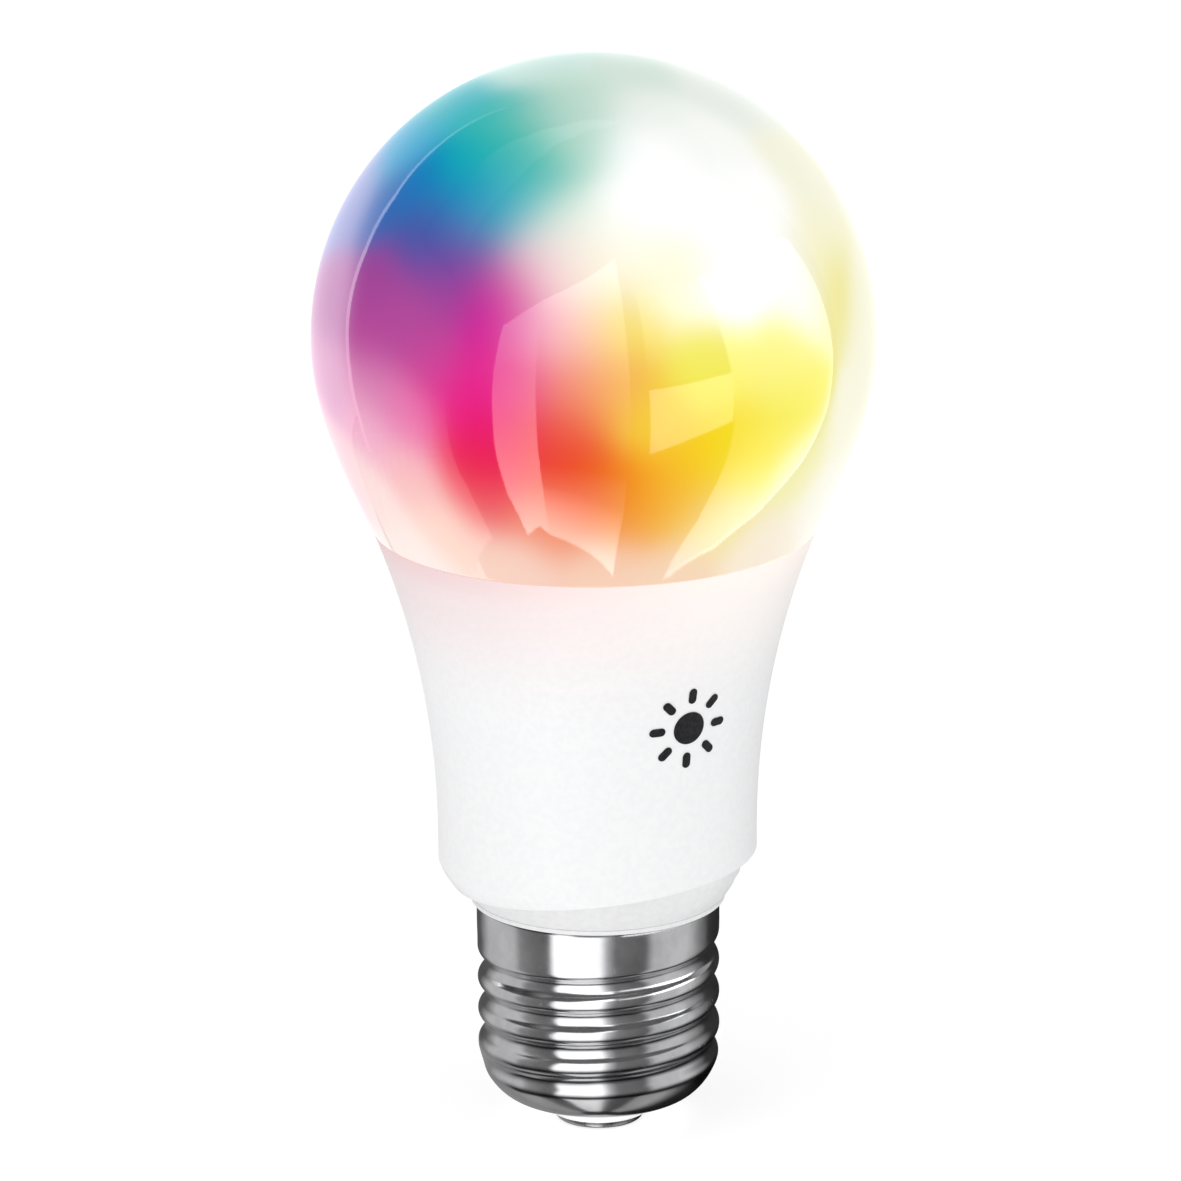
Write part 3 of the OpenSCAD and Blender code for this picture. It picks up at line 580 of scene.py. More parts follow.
# Where each colour of light sits: angle round the globe from the front, angle above its middle, and the
# colour, which may go past 255 where the light is strongest. The front comes first, then the sides and back.
GLOW = [
    (-52, 42, BLUE), (-46, 33, INDIGO), (-62, 36, (56, 108, 186)), (-35, 38, (16, 128, 196)),
    (-26, 39, (0, 164, 200)), (-30, 43, (0, 148, 196)), (-20, 42, (20, 190, 192)), (-23, 38, (0, 164, 200)),
    (-36, 29, (90, 72, 164)), (-30, 33, (84, 76, 168)), (-15, 41, (138, 218, 204)),
    (-28, 30, (126, 62, 160)), (-42, 50, TEAL), (-27, 47, (40, 188, 188)), (-18, 49, (84, 196, 174)),
    (-30, 56, (52, 192, 176)), (-45, 63, (62, 194, 190)), (-4, 55, (184, 226, 210)),
    (-24, 65, (150, 212, 196)), (-6, 66, (206, 232, 220)), (-15, 74, (206, 236, 220)),
    (27, 66, (248, 254, 248)), (40, 78, (222, 240, 230)), (75, 62, (244, 250, 242)), (-52, 20, PURPLE),
    (-50, 11, VIOLET), (-40, 16, (180, 74, 157)), (-34, 8, (206, 72, 156)), (-32, 22, (166, 70, 156)),
    (-22, 24, (192, 26, 156)), (-20, 16, (218, 0, 154)), (-20, 5, (232, 24, 146)),
    (-20, -5, (236, 22, 116)), (-40, -5, PINK), (-27, 0, MAGENTA), (-24, -9, RED),
    (-15, 29, (246, 160, 200)), (-8, 27, (258, 236, 230)), (-17, 21, (222, 30, 156)),
    (-14, 6, (238, 80, 148)), (-10, 17, (248, 166, 206)), (-11, -7, (240, 56, 64)), (-4, -11, FLAME),
    (-5, -2, (242, 104, 70)), (-5, 6, (246, 136, 122)), (-4, 16, (252, 200, 168)),
    (-2, 26, (256, 244, 224)), (3, 5, (251, 184, 84)), (6, 18, (252, 230, 88)), (4, -16, (245, 122, 10)),
    (-6, -17, (240, 74, 34)), (11, -3, (252, 214, 62)), (13, -17, AMBER), (9, -25, (248, 164, 56)),
    (20, -24, (254, 206, 84)), (22, -12, (254, 208, 32)), (30, -8, YELLOW), (33, -14, (252, 240, 74)),
    (24, 7, (250, 242, 96)), (43, -5, (248, 238, 66)), (40, 6, (251, 243, 112)), (61, 17, (250, 242, 140)),
    (50, 20, (262, 260, 248)), (72, 10, (260, 258, 232)), (50, -20, (254, 250, 186)),
    (30, -28, (254, 240, 176)), (66, -12, (260, 258, 234)), (60, -26, (262, 260, 248)),
    (62, 28, (258, 256, 222)), (70, 42, (256, 255, 232)), (26, 42, WHITE), (32, 24, WHITE), (12, 42, WHITE),
    (48, 38, WHITE), (17, 26, (264, 262, 232)), (6, 30, (264, 262, 244)), (-12, 35, (246, 248, 234)),
    (-6, 38, (254, 257, 244)), (16, 54, WHITE), (42, 54, (260, 262, 258)), (-42, -18, (250, 188, 190)),
    (-25, -14, (240, 34, 80)), (-24, -22, (243, 100, 106)), (-10, -26, (249, 156, 124)),
    (-1, -22, (245, 128, 72)), (-50, -1, (218, 128, 182)), (-53, -10, (248, 180, 208)),
    (-58, -26, (254, 226, 220)), (-36, -30, (253, 216, 200)), (-50, -40, (254, 238, 232)),
    (-20, -36, (254, 217, 200)), (3, -36, (253, 214, 190)), (20, -38, (253, 220, 192)), (44, -36, CREAM),
    (-70, 13, (200, 136, 188)), (-68, -3, (226, 164, 204)), (-78, 32, (160, 166, 220)),
    (-72, 47, (44, 172, 216)), (-72, 60, (44, 188, 200)), (-66, 78, (206, 236, 228)), (-70, -22, PALE_PINK),
    (96, 16, (260, 258, 236)), (96, -12, (260, 258, 228)), (122, -15, (258, 256, 214)),
    (145, 12, (150, 216, 96)), (180, 20, (60, 192, 150)), (180, -12, (40, 180, 190)), (-145, 14, BLUE),
    (-115, 12, (110, 92, 180)), (-110, -18, (200, 150, 214)), (130, 50, PALE_GREEN), (-150, 52, TEAL),
    (-150, -28, (190, 214, 240)), (150, -34, (220, 240, 220)), (95, -34, (262, 258, 244)),
]

# How tightly each colour keeps to its place, at the front and at the back, where there are fewer colours.
# The one turns into the other between two values of the direction's Y.
FRONT_SHARPNESS = 112.0
BACK_SHARPNESS = 9.0
TURNS_SOFT = (0.1, 0.5)

# The globe's own light, and how much of the light that falls on it comes back.
GLOBE_LIGHT = 0.6
GLOBE_REFLECTS = 0.36


def direction(azimuth, elevation):
    """A unit vector at an angle round the axis, from the front towards +X, and an angle above the horizon."""
    a, e = math.radians(azimuth), math.radians(elevation)
    return Vector((math.sin(a) * math.cos(e), -math.cos(a) * math.cos(e), math.sin(e)))


def glow_colour(tree, where):
    """The colour of the light that comes through the globe: each colour fades into its neighbours."""
    offset = vector_maths(tree, "SUBTRACT", where, (0, 0, GLOBE_Z * MM))
    outward = vector_maths(tree, "NORMALIZE", offset)
    behind = add(tree, "SeparateXYZ", {0: outward}).outputs["Y"]
    sharpness = ranged(tree, behind, *TURNS_SOFT, FRONT_SHARPNESS, BACK_SHARPNESS)
    total_colour, total_weight = None, None
    for azimuth, elevation, colour in GLOW:
        towards = facing(tree, outward, azimuth, elevation)
        power = maths(tree, "MULTIPLY", maths(tree, "SUBTRACT", towards, 1.0), sharpness)
        weight = maths(tree, "EXPONENT", power)
        share = scaled(tree, linear(*colour)[:3], weight)
        if total_colour is None:
            total_colour, total_weight = share, weight
        else:
            total_colour = vector_maths(tree, "ADD", total_colour, share)
            total_weight = maths(tree, "ADD", total_weight, weight)
    return scaled(tree, total_colour, maths(tree, "DIVIDE", 1.0, total_weight))


def globe_material():
    """Opal plastic, lit from inside in many colours, with a moulded skin and a gloss."""
    material, tree, shader = new_material("opal_globe")
    where = place(tree)
    colour = glow_colour(tree, where)
    haze = noise(tree, where, 5.0, detail=4.0)
    uneven = ranged(tree, haze, 0.3, 0.7, 0.985, 1.015, smooth=False)
    skin = noise(tree, where, 0.5, detail=2.0)
    feed(
        tree, shader,
        Base_Color=scaled(tree, colour, GLOBE_REFLECTS),
        Emission_Color=scaled(tree, colour, uneven),
        Emission_Strength=GLOBE_LIGHT,
        Roughness=ranged(tree, noise(tree, where, 2.0), 0.3, 0.7, 0.035, 0.055),
        IOR=1.5,
        Normal=bumped(tree, skin, 0.002, 0.6),
    )
    return material


# ---------------------------------------------------------------- other materials on the outside

# In millimetres: the heights between which the globe's light is painted onto the sleeve, the heights between
# which more of it is painted on, and how far out to each side the painted light's colour goes on changing.
NEAR_SEAM_Z = (50.0, 67.5)
AT_SEAM_Z = (63.5, 67.5)
SIDE_X = 22.0
LEFT_LIGHT, RIGHT_LIGHT = (228, 196, 198), (256, 244, 236)


def sleeve_material():
    """White satin plastic, with the globe's light painted on near the seam as a coloured tint and a weak
    glow.
    """
    material, tree, shader = new_material("white_sleeve")
    where = place(tree)
    parts = add(tree, "SeparateXYZ", {0: where})
    x, z = parts.outputs["X"], parts.outputs["Z"]
    speckle = noise(tree, where, 0.35, detail=2.0)
    low, high = (0.88, 0.885, 0.895, 1), (0.905, 0.908, 0.915, 1)
    plastic = mixed(tree, ranged(tree, speckle, 0.35, 0.65), low, high)
    side = ranged(tree, x, -SIDE_X * MM, SIDE_X * MM)
    painted_glow_tint = mixed(tree, side, linear(*LEFT_LIGHT), linear(*RIGHT_LIGHT))
    near_seam = ranged(tree, z, NEAR_SEAM_Z[0] * MM, NEAR_SEAM_Z[1] * MM, 0.0, 0.6)
    at_seam = ranged(tree, z, AT_SEAM_Z[0] * MM, AT_SEAM_Z[1] * MM, 0.0, 0.3)
    painted_glow_share = maths(tree, "ADD", near_seam, at_seam, clamp=True)
    grain = noise(tree, where, 0.12, detail=2.0)
    feed(
        tree, shader,
        # Painted light: the globe's light is mixed into the colour, and the sleeve glows weakly with it.
        Base_Color=mixed(tree, painted_glow_share, plastic, painted_glow_tint),
        Emission_Color=mixed(tree, painted_glow_share, (0, 0, 0, 1), painted_glow_tint),
        Emission_Strength=0.12,
        Roughness=ranged(tree, noise(tree, where, 1.6), 0.3, 0.7, 0.46, 0.52),
        Specular_IOR_Level=0.25,
        Normal=bumped(tree, grain, 0.004, 0.5),
    )
    return material


def ink_material():
    """Printed black ink, matt and a little uneven."""
    material, tree, shader = new_material("black_ink")
    where = place(tree)
    patchy = noise(tree, where, 0.25, detail=4.0)
    low, high = (0.006, 0.006, 0.007, 1), (0.018, 0.018, 0.02, 1)
    feed(
        tree, shader,
        Base_Color=mixed(tree, ranged(tree, patchy, 0.35, 0.7), low, high),
        Roughness=ranged(tree, patchy, 0.3, 0.7, 0.55, 0.7),
        Specular_IOR_Level=0.15,
        Normal=bumped(tree, patchy, 0.006, 0.4),
    )
    return material


# Where the cap is scuffed, in millimetres: below a height, and outside a radius.
SCUFFED_Z = (21.5, 21.0)
SCUFFED_R = (12.8, 13.1)

# How far under the collar's lower edge its shadow starts, and how far under the edge it is full.
SHADOW_UNDER_COLLAR = (0.55, 0.15)


def shell_material():
    """Nickel plate: drawing marks round it, fine scuffs on the crests, a painted shadow as a dark line under
    the collar.
    """
    material, tree, shader = new_material("nickel_plate")
    where = place(tree)
    squeezed = add(tree, "Mapping", {"Vector": where, "Scale": (0.12, 0.12, 1.0)}).outputs[0]
    marks = noise(tree, squeezed, 0.05, detail=3.0)
    clouds = noise(tree, where, 1.5, detail=4.0)
    tone = mixed(tree, ranged(tree, clouds, 0.3, 0.7), (0.6, 0.6, 0.615, 1), (0.7, 0.7, 0.71, 1))
    parts = add(tree, "SeparateXYZ", {0: where})
    x, y, z = (parts.outputs[axis] for axis in "XYZ")
    flat = add(tree, "CombineXYZ", {"X": x, "Y": y}).outputs[0]
    radius = add(tree, "VectorMath", {0: flat}, operation="LENGTH").outputs["Value"]
    on_thread = ranged(tree, z, SCUFFED_Z[0] * MM, SCUFFED_Z[1] * MM)
    crest = maths(tree, "MULTIPLY", ranged(tree, radius, SCUFFED_R[0] * MM, SCUFFED_R[1] * MM), on_thread)
    starts, full = ((COLLAR_LOW_Z - under) * MM for under in SHADOW_UNDER_COLLAR)
    # Painted shadow: the plate turns dark just under the collar's lower edge.
    tone = mixed(tree, ranged(tree, z, starts, full), tone, (0.06, 0.06, 0.065, 1))
    scuffs = ranged(tree, noise(tree, where, 0.3, detail=5.0, roughness=0.7), 0.55, 0.7)
    worn = maths(tree, "MULTIPLY", crest, scuffs)
    base_rough = ranged(tree, clouds, 0.3, 0.7, 0.15, 0.19)
    feed(
        tree, shader,
        Base_Color=tone,
        Metallic=1.0,
        Roughness=maths(tree, "MULTIPLY_ADD", worn, 0.12, base_rough),
        Normal=bumped(tree, marks, 0.0012, 0.5),
    )
    return material


def moulded_plastic(name, low, high, roughness, speckle_mm=0.4, grain_mm=0.15, bump_mm=0.004, glow=0.0):
    """Moulded plastic: a fine change of tone, an uneven gloss and a fine grain. It may glow, which is painted
    light.
    """
    material, tree, shader = new_material(name)
    where = place(tree)
    tone = noise(tree, where, speckle_mm, detail=3.0)
    uneven = noise(tree, where, speckle_mm * 4)
    feed(
        tree, shader,
        Base_Color=mixed(tree, ranged(tree, tone, 0.3, 0.7), low + (1,), high + (1,)),
        Roughness=ranged(tree, uneven, 0.3, 0.7, roughness - 0.05, roughness + 0.05),
        # Any glow here is painted light: the plastic is no lamp.
        Emission_Color=high + (1,),
        Emission_Strength=glow,
        Normal=bumped(tree, noise(tree, where, grain_mm, detail=2.0), bump_mm, 0.5),
    )
    return material


def metal(name, low, high, roughness, stretch=(1, 1, 1), size_mm=0.3, bump_mm=0.002):
    """Metal with brushing or casting marks, stretched along the axes that have a small scale."""
    material, tree, shader = new_material(name)
    where = place(tree)
    stretched = add(tree, "Mapping", {"Vector": where, "Scale": stretch}).outputs[0]
    marks = noise(tree, stretched, size_mm, detail=4.0, roughness=0.6)
    feed(
        tree, shader,
        Base_Color=mixed(tree, ranged(tree, marks, 0.3, 0.7), low + (1,), high + (1,)),
        Metallic=1.0,
        Roughness=ranged(tree, marks, 0.3, 0.7, roughness - 0.06, roughness + 0.06),
        Normal=bumped(tree, marks, bump_mm, 0.6),
    )
    return material


# ---------------------------------------------------------------- painting every piece

outside = {
    "globe": globe_material(),
    "sleeve": sleeve_material(),
    "printed_symbol": ink_material(),
    "screw_cap": shell_material(),
    # The insulator glows a little: painted light that brightens it in the shade under the cap.
    "insulator": moulded_plastic(
        "cap_insulator_plastic", (0.86, 0.86, 0.85), (0.9, 0.9, 0.89), 0.3, glow=0.26
    ),
    "contact": metal("contact_metal", (0.7, 0.7, 0.69), (0.8, 0.8, 0.79), 0.28, size_mm=0.5),
    "driver_housing": moulded_plastic("housing_plastic", (0.8, 0.803, 0.81), (0.84, 0.843, 0.85), 0.5),
}

# The material of each slot on the inside.
inside_materials = {
    "clear_silicone": moulded_plastic("clear_silicone", (0.8, 0.81, 0.82), (0.88, 0.89, 0.9), 0.25),
    "sink_aluminium": metal("sink_aluminium", (0.66, 0.67, 0.69), (0.78, 0.79, 0.81), 0.36, (1, 1, 0.1)),
    "thermal_silicone": moulded_plastic("thermal_silicone", (0.42, 0.52, 0.64), (0.5, 0.6, 0.72), 0.7),
    "white_solder_mask": moulded_plastic("white_solder_mask", (0.84, 0.84, 0.83), (0.9, 0.9, 0.89), 0.35),
    "zinc_steel": metal("zinc_steel", (0.6, 0.62, 0.66), (0.74, 0.75, 0.78), 0.32),
    "led_package": moulded_plastic("led_package", (0.82, 0.81, 0.77), (0.88, 0.87, 0.83), 0.45),
    "led_phosphor": moulded_plastic("led_phosphor", (0.86, 0.58, 0.05), (0.93, 0.7, 0.1), 0.3, 0.12),
    "clear_epoxy": moulded_plastic("clear_epoxy", (0.74, 0.78, 0.78), (0.82, 0.86, 0.86), 0.12),
    "black_epoxy": moulded_plastic("black_epoxy", (0.016, 0.016, 0.017), (0.032, 0.032, 0.034), 0.55, 0.2),
    "black_plastic": moulded_plastic("black_plastic", (0.02, 0.02, 0.022), (0.04, 0.04, 0.044), 0.42),
    "gold_plate": metal("gold_plate", (0.78, 0.56, 0.2), (0.9, 0.7, 0.32), 0.24),
    "green_solder_mask": moulded_plastic("green_solder_mask", (0.015, 0.15, 0.06), (0.03, 0.22, 0.09), 0.28),
    "tinned_steel": metal("tinned_steel", (0.66, 0.66, 0.65), (0.78, 0.78, 0.77), 0.3),
    "copper": metal("copper", (0.72, 0.34, 0.2), (0.86, 0.46, 0.3), 0.3),
    "solder": metal("solder", (0.62, 0.63, 0.65), (0.76, 0.77, 0.79), 0.26, size_mm=0.2),
    "capacitor_aluminium": metal(
        "capacitor_aluminium", (0.72, 0.72, 0.74), (0.84, 0.84, 0.86), 0.3, (1, 1, 0.1)
    ),
    "blue_film": moulded_plastic("blue_film", (0.01, 0.03, 0.16), (0.02, 0.05, 0.24), 0.22),
    "green_film": moulded_plastic("green_film", (0.01, 0.12, 0.07), (0.02, 0.17, 0.1), 0.22),
    "ferrite": moulded_plastic("ferrite", (0.03, 0.03, 0.033), (0.07, 0.07, 0.075), 0.6, 0.15, 0.1, 0.01),
    "yellow_tape": moulded_plastic("yellow_tape", (0.78, 0.5, 0.03), (0.86, 0.58, 0.05), 0.3),
    "enamelled_copper": metal("enamelled_copper", (0.52, 0.15, 0.05), (0.66, 0.22, 0.08), 0.25),
    "yellow_resin": moulded_plastic("yellow_resin", (0.62, 0.3, 0.02), (0.72, 0.38, 0.03), 0.25),
    "blue_resin": moulded_plastic("blue_resin", (0.015, 0.06, 0.36), (0.03, 0.09, 0.44), 0.25),
    "resistor_coating": moulded_plastic("resistor_coating", (0.12, 0.24, 0.17), (0.17, 0.31, 0.22), 0.5),
    "tan_ceramic": moulded_plastic("tan_ceramic", (0.34, 0.22, 0.12), (0.44, 0.3, 0.18), 0.5),
    "red_insulation": moulded_plastic("red_insulation", (0.4, 0.015, 0.015), (0.5, 0.025, 0.025), 0.4),
    "black_insulation": moulded_plastic("black_insulation", (0.02, 0.02, 0.02), (0.035, 0.035, 0.035), 0.4),
}

for subpart in frame["record"]["subparts"]:
    name = subpart["node"]
    painted = nodes[name]
    if painted.hide_render:
        continue
    material = outside[name] if name in outside else inside_materials[subpart["material_slot"]]
    painted.data.materials.clear()
    painted.data.materials.append(material)
for piece in (globe, sleeve, shell, insulator, contact):
    piece.data.materials.append(outside[piece.name])


# ---------------------------------------------------------------- stage and light

def card_material():
    """Plain light whose strength is stored on the card's points."""
    material, tree, _ = new_material("card_light")
    tree.nodes.clear()
    glow = add(tree, "Attribute", attribute_name="glow")
    light = add(tree, "Emission", {"Color": (1, 1, 1, 1), "Strength": glow.outputs["Fac"]})
    output = add(tree, "OutputMaterial")
    tree.links.new(light.outputs[0], output.inputs["Surface"])
    return material


card_light = card_material()


def card(name, rows, strengths):
    """A reflector card, which shows only in reflections.

    It is given as rows of points in metres, from its lower edge to its upper edge, and rows of strengths.
    """
    across = len(rows[0])
    points = [p for row in rows for p in row]
    faces = [
        (i * across + j, i * across + j + 1, (i + 1) * across + j + 1, (i + 1) * across + j)
        for i in range(len(rows) - 1)
        for j in range(across - 1)
    ]
    mesh = bpy.data.meshes.new(name)
    mesh.from_pydata(points, [], faces)
    glow = mesh.attributes.new("glow", "FLOAT", "POINT")
    for i, value in enumerate(v for row in strengths for v in row):
        glow.data[i].value = value
    mesh.materials.append(card_light)
    made = bpy.data.objects.new(name, mesh)
    bpy.context.scene.collection.objects.link(made)
    made.visible_camera = False
    made.visible_diffuse = False
    made.visible_shadow = False
    made.visible_transmission = False
    return made


CARD_DISTANCE = 0.6
LINE_IN_FRONT = 0.01
CARD_CENTRE = Vector((0, 0, GLOBE_Z * MM))


def soft_box(name, left, right, strengths, across=12, between=6, distance=CARD_DISTANCE):
    """A card seen from the globe between two edges, each a list of (azimuth, elevation) from the bottom up.

    Each row's strength is a number, or a pair for its left and right ends.
    """
    pairs = [s if isinstance(s, tuple) else (s, s) for s in strengths]
    rows, glows = [], []
    steps = (len(left) - 1) * between
    for i in range(steps + 1):
        k = min(i // between, len(left) - 2)
        t = i / between - k
        ends = [
            tuple(edge[k][n] + (edge[k + 1][n] - edge[k][n]) * t for n in range(2))
            for edge in (left, right, pairs)
        ]
        row, glow = [], []
        for j in range(across + 1):
            u = j / across
            azimuth, elevation = (ends[0][n] + (ends[1][n] - ends[0][n]) * u for n in range(2))
            row.append(CARD_CENTRE + direction(azimuth, elevation) * distance)
            glow.append(ends[2][0] + (ends[2][1] - ends[2][0]) * u)
        rows.append(row)
        glows.append(glow)
    return card(name, rows, glows)


def edge_line(name, edge, strengths, width):
    """A thin bright line along an edge, as from the lit rim of a reflector. Its width is in degrees."""
    inside = [(azimuth - width, elevation) for azimuth, elevation in edge]
    return soft_box(name, inside, edge, strengths, across=2, distance=CARD_DISTANCE - LINE_IN_FRONT)


# In front: a wide box, and on its left a wing with a fold.
front_left = [(-42.4, -57.2), (-45.4, -48), (-43.8, -39), (-41.3, -21.5), (-39.5, -1), (-37.5, 16)]
front_fold = [(-33.2, -56.2), (-34, -47), (-33.3, -38), (-32, -19.5), (-31, 0), (-29.5, 22.5)]
front_edge = [(-28.5, -58.3), (-25.6, -46), (-24.2, -36), (-23, -18), (-22.6, 0), (-22, 28)]
front_right = [(14, -66), (16, -54), (15.2, -42), (14, -17), (13.7, 0), (11.5, 45)]
strip_light = [6.0, 4.6, 4.2, 2.8, 1.8, 2.4]
soft_box("front_box", front_edge, front_right, [5.6, 1.0, 0.08, (0.1, 0.4), (0.7, 1.2), 2.8])
soft_box("front_strip", front_fold, front_edge, strip_light)
soft_box("front_wing", front_left, front_fold, strip_light)

# On the right: a tall curved box, a bar that joins it to the window, and a soft sheet above the bar.
right_inner = [
    (53.5, -63), (60.5, -53), (62.2, -45), (60.5, -35), (58.6, -23), (56, -9), (53, 7), (51, 23), (50, 31),
]
right_outer = [
    (57, -62), (80, -54), (97, -45), (110, -35), (111.8, -23), (110, -10), (106, 8), (103, 23), (93, 31),
]
soft_box(
    "right_box", right_inner, right_outer,
    [3.5, 3.2, (2.2, 3.0), (1.2, 2.4), (1.0, 1.8), (2.0, 2.4), (3.4, 3.2), (3.2, 3.4), 3.4],
)
edge_line("right_line", right_outer, [5.5, 5.5, 5.0, 4.6, 3.8, 3.2, 3.0, 3.0, 3.0], width=1.6)
soft_box("right_bar", [(23.5, -33), (21.3, -7.3)], [(57.8, -22), (55.8, -4.6)], [2.8, 2.8])
soft_box(
    "right_sheet", [(21, -7), (20.6, 1.4), (20.1, 11.3), (19.5, 22.3), (18.7, 32.4)],
    [(55.2, -4.7), (53.8, 3), (52.4, 12), (51.1, 22), (50, 31)], [0.0, 0.3, 1.0, 1.5, 0.5],
)

# Low down on the left, in steps, as from the edge of a table.
soft_box(
    "low_left", [(-165, -54.5), (-160, -41), (-113.5, -25), (-113.5, -10)],
    [(-65.5, -54.8), (-66, -41), (-63, -25), (-60, -10)], [(0.6, 1.3), (0.6, 1.0), 0.4, 0.0],
)
soft_box(
    "low_left_step", [(-165, -53.5), (-160, -36), (-113.5, -22), (-113.5, -10)],
    [(-72.2, -53.8), (-71, -36), (-68, -22), (-66, -10)], [(0.6, 1.3), (0.6, 1.0), 0.4, 0.0],
)
soft_box(
    "low_left_foot", [(-165, -62), (-165, -54.5)], [(-84.2, -62), (-82, -53.2)], [(0.8, 2.0), (0.8, 2.0)]
)

# Behind, and overhead.
rear_edge = [
    (-117, -31), (-113.6, -24), (-113.6, -13), (-116.5, 0), (-118.5, 12), (-124, 24), (-135, 34), (-152, 46),
]
soft_box(
    "rear_left", [(-180, elevation) for _, elevation in rear_edge], rear_edge,
    [(0.65, 0.8), (0.65, 1.0), (0.65, 1.1), (0.65, 1.1), (0.6, 1.1), (0.5, 0.7), (0.35, 0.35), (0.1, 0.15)],
)
edge_line("rear_line", rear_edge, [0.8, 1.2, 2.0, 2.4, 2.8, 2.6, 1.6, 0.3], width=2.6)
rear_right_edge = [(114, -45), (114, -20), (112, 10), (108, 50)]
soft_box(
    "rear_right", rear_right_edge, [(180, elevation) for _, elevation in rear_right_edge],
    [(0.1, 0.65), (0.1, 0.65), (0.4, 0.6), (0.3, 0.0)],
)
soft_box(
    "overhead",
    [(-95, 30), (-100, 42), (-110, 53), (-121, 59), (-134, 65.6), (-156, 70.2), (-201, 68.8)],
    [(-67, 27), (-70, 42), (-76, 58), (-84, 67), (-106, 75), (-155, 78), (-193, 74)],
    [0.0, (0.0, 0.3), (0.08, 0.42), (0.42, 0.5), 0.72, 0.9, 0.6],
)

# A low ring of light round the cap, for the cap's reflections: the azimuth of the reflected ray and the
# strength that it meets.
RING = [
    (-180, 1.2), (-174, 1.2), (-168, 0.08), (-150, 0.1), (-140, 0.3), (-128, 0.62), (-88, 0.66),
    (-80, 0.3), (-64, 0.18), (-48, 0.12), (-43, 1.7), (1, 1.7), (8, 0.6), (16, 0.2), (46, 0.13),
    (54, 0.62), (92, 0.72), (112, 0.3), (130, 0.03), (168, 0.02), (174, 1.2), (180, 1.2),
]
RING_R = 0.024

# Weak light low down on the left, which keeps the cap's lower left end from going black: its strength, the
# azimuths between which it fades in, and the height that it reaches.
DISH_FILL = 0.3
DISH_FILL_FADES = (-100, -120)
DISH_FILL_TOP = 0.001

# The ring's rows, from a dish under the cap up to its top edge: radius, height and share of the strength.
RING_ROWS = [
    (0.006, -0.03, 0.5), (0.02, -0.024, 0.6), (RING_R, -0.014, 0.6), (RING_R, -0.007, 0.04),
    (RING_R, 0.0, 0.04), (RING_R, 0.008, 1.0), (RING_R, 0.0235, 1.0),
]


def ring_strength(azimuth):
    """The strength that RING gives between its azimuths."""
    for (a, low), (b, high) in zip(RING, RING[1:]):
        if azimuth <= b:
            return low + (high - low) * (azimuth - a) / (b - a)


def dish_fill(azimuth, z):
    """The weak light's strength at a point of the ring."""
    if z >= DISH_FILL_TOP:
        return 0
    starts, full = DISH_FILL_FADES
    return DISH_FILL * min(1.0, max(0.0, (starts - azimuth) / (starts - full)))


def ring_point(azimuth, radius, z):
    """Where a ray that leaves the cap at this azimuth, after reflection, meets the ring.

    Near the back the ring's two ends are drawn together, so that it closes.
    """
    across = math.asin(math.sin(math.radians(azimuth / 2)) * SKIRT_SHELL_R * MM / RING_R)
    closing = min(1.0, (180 - abs(azimuth)) / 30)
    angle = math.radians(azimuth) - across * closing
    return Vector((math.sin(angle) * radius, -math.cos(angle) * radius, z))


RING_STEPS = 240
ring_angles = [-180 + 360 * i / RING_STEPS for i in range(RING_STEPS + 1)]
card(
    "cap_ring",
    [[ring_point(a, radius, z) for a in ring_angles] for radius, z, _ in RING_ROWS],
    [
        [max(ring_strength(a) * share, dish_fill(a, z)) for a in ring_angles]
        for _, z, share in RING_ROWS
    ],
)


FLOOR_HALF = 3.0
FLOOR_DROP = 0.02 * MM
FLOOR_LIGHT = 0.74


def make_floor():
    """A plain pale floor. It is left out of reflections, so that the cap reflects the cards."""
    corners = [(x * FLOOR_HALF, y * FLOOR_HALF, 0) for x, y in ((-1, -1), (1, -1), (1, 1), (-1, 1))]
    mesh = bpy.data.meshes.new("floor")
    mesh.from_pydata(corners, [], [(0, 1, 2, 3)])
    floor = bpy.data.objects.new("floor", mesh)
    bpy.context.scene.collection.objects.link(floor)
    material, tree, shader = new_material("pale_floor")
    feed(
        tree, shader,
        Base_Color=(0.4, 0.4, 0.4, 1), Roughness=0.9, Specular_IOR_Level=0.0,
        Emission_Color=(1, 1, 1, 1), Emission_Strength=FLOOR_LIGHT,
    )
    mesh.materials.append(material)
    floor.visible_glossy = False
    floor.location.z = -FLOOR_DROP


make_floor()


# The light that falls on surfaces: where it is strongest, and its strength from there and from behind.
FILL_FROM = (-12, 5)
FILL_AHEAD, FILL_BEHIND = 1.02, 0.45

# The room that shows in reflections: its strength low down and high up, and the share of it behind.
ROOM_LOW, ROOM_HIGH = 0.02, 0.12
ROOM_BEHIND = 0.25


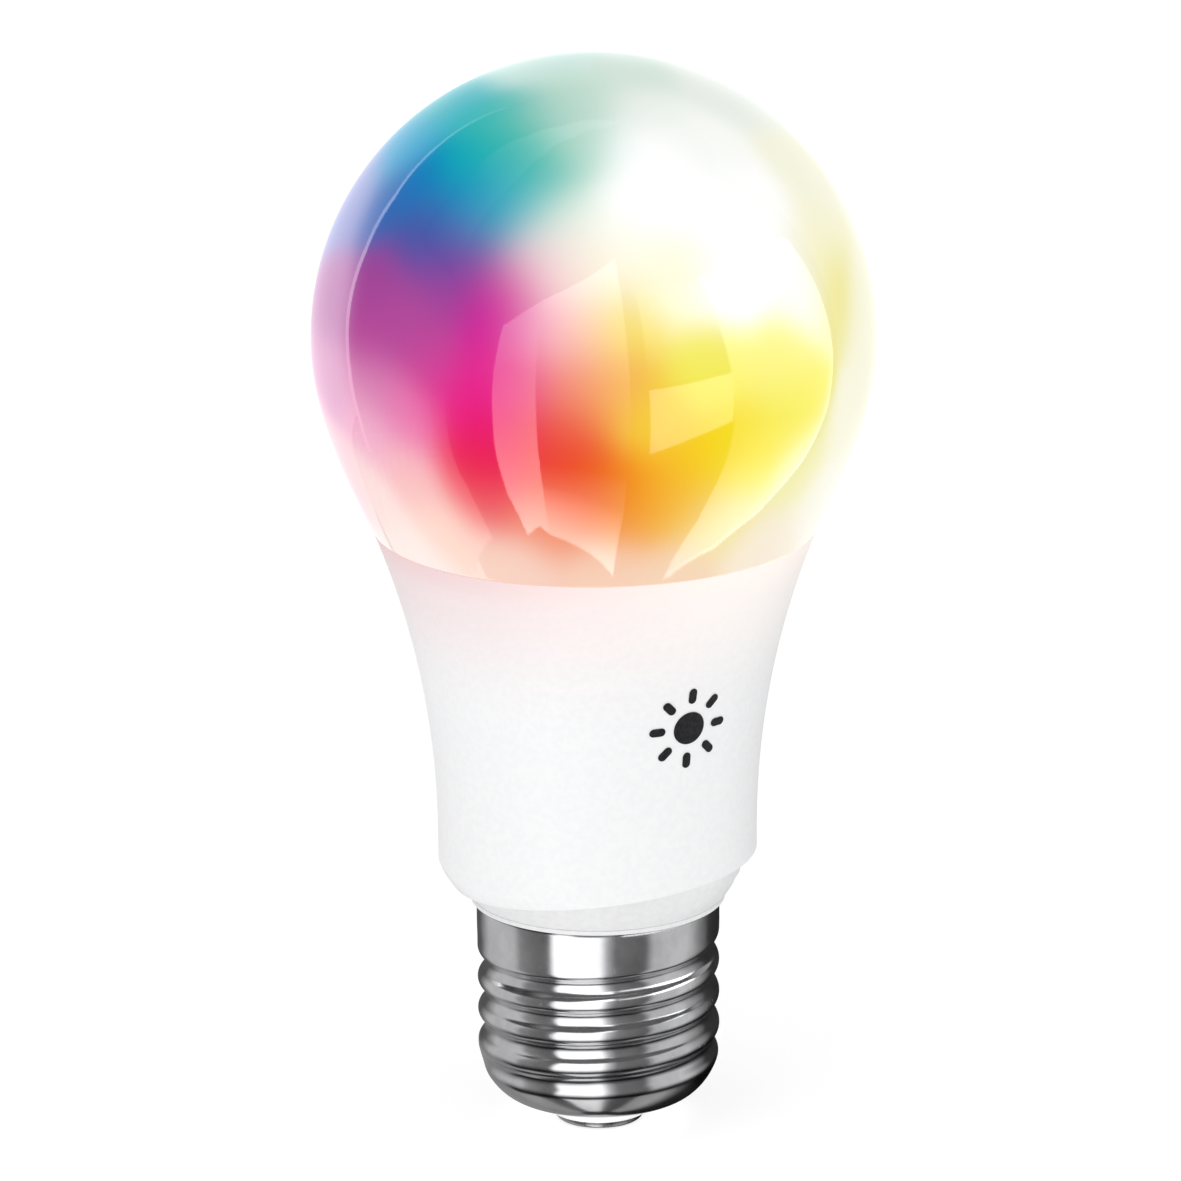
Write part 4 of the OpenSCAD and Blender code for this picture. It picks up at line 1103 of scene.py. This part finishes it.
def make_world():
    """White to the camera, even light for surfaces, and a dimmer room for reflections."""
    world = bpy.data.worlds.new("studio")
    bpy.context.scene.world = world
    world.use_nodes = True
    tree = world.node_tree
    tree.nodes.clear()
    path = add(tree, "LightPath")
    outward = add(tree, "TexCoord").outputs["Generated"]
    parts = add(tree, "SeparateXYZ", {0: outward})
    overhead = ranged(tree, parts.outputs["Z"], -0.5, 0.6, ROOM_LOW, ROOM_HIGH)
    ahead = ranged(tree, parts.outputs["Y"], 0.5, -0.1, ROOM_BEHIND, 1.0)
    room = maths(tree, "MULTIPLY", overhead, ahead)
    fill = ranged(tree, facing(tree, outward, *FILL_FROM), -0.6, 0.9, FILL_BEHIND, FILL_AHEAD)
    lit = mixed(tree, path.outputs["Is Glossy Ray"], fill, room)
    seen = mixed(tree, path.outputs["Is Camera Ray"], lit, (1, 1, 1, 1))
    background = add(tree, "Background", {"Color": seen, "Strength": 1.0})
    output = add(tree, "OutputWorld")
    tree.links.new(background.outputs[0], output.inputs["Surface"])


make_world()


KEY_PLACE = (-0.45, -0.6, 0.7)
KEY_AIM = (0, 0, 0.05)
KEY_SIZE = 0.5
KEY_WATTS = 0.8


def make_key_light():
    """A large soft light above the left shoulder of the camera."""
    data = bpy.data.lights.new("key", "AREA")
    data.shape = "DISK"
    data.size = KEY_SIZE
    data.energy = KEY_WATTS
    key = bpy.data.objects.new("key", data)
    bpy.context.scene.collection.objects.link(key)
    key.location = KEY_PLACE
    aim = Vector(KEY_AIM) - key.location
    key.rotation_mode = "QUATERNION"
    key.rotation_quaternion = aim.to_track_quat("-Z", "Y")
    key.visible_glossy = False


make_key_light()


# The camera that fits the photo's outline: distance and target in metres, angles in degrees.
CAMERA_DISTANCE = 0.9
CAMERA_TARGET = Vector((-0.00055, 0, 0.0597))
CAMERA_DOWN = 17.0
CAMERA_ROLL = -0.44
CAMERA_LENS = 256.4


def make_camera():
    """A long lens, a little above the bulb, level but for a slight roll."""
    data = bpy.data.cameras.new("camera")
    data.sensor_width = 36.0
    data.lens = CAMERA_LENS
    camera = bpy.data.objects.new("camera", data)
    bpy.context.scene.collection.objects.link(camera)
    down, roll = math.radians(CAMERA_DOWN), math.radians(CAMERA_ROLL)
    camera.location = CAMERA_TARGET + Vector((0, -math.cos(down), math.sin(down))) * CAMERA_DISTANCE
    camera.rotation_mode = "QUATERNION"
    turn = Matrix.Rotation(math.radians(90) - down, 3, "X") @ Matrix.Rotation(roll, 3, "Z")
    camera.rotation_quaternion = turn.to_quaternion()
    bpy.context.scene.camera = camera


make_camera()
bpy.context.scene.view_settings.view_transform = "Standard"

bpy.context.view_layer.update()
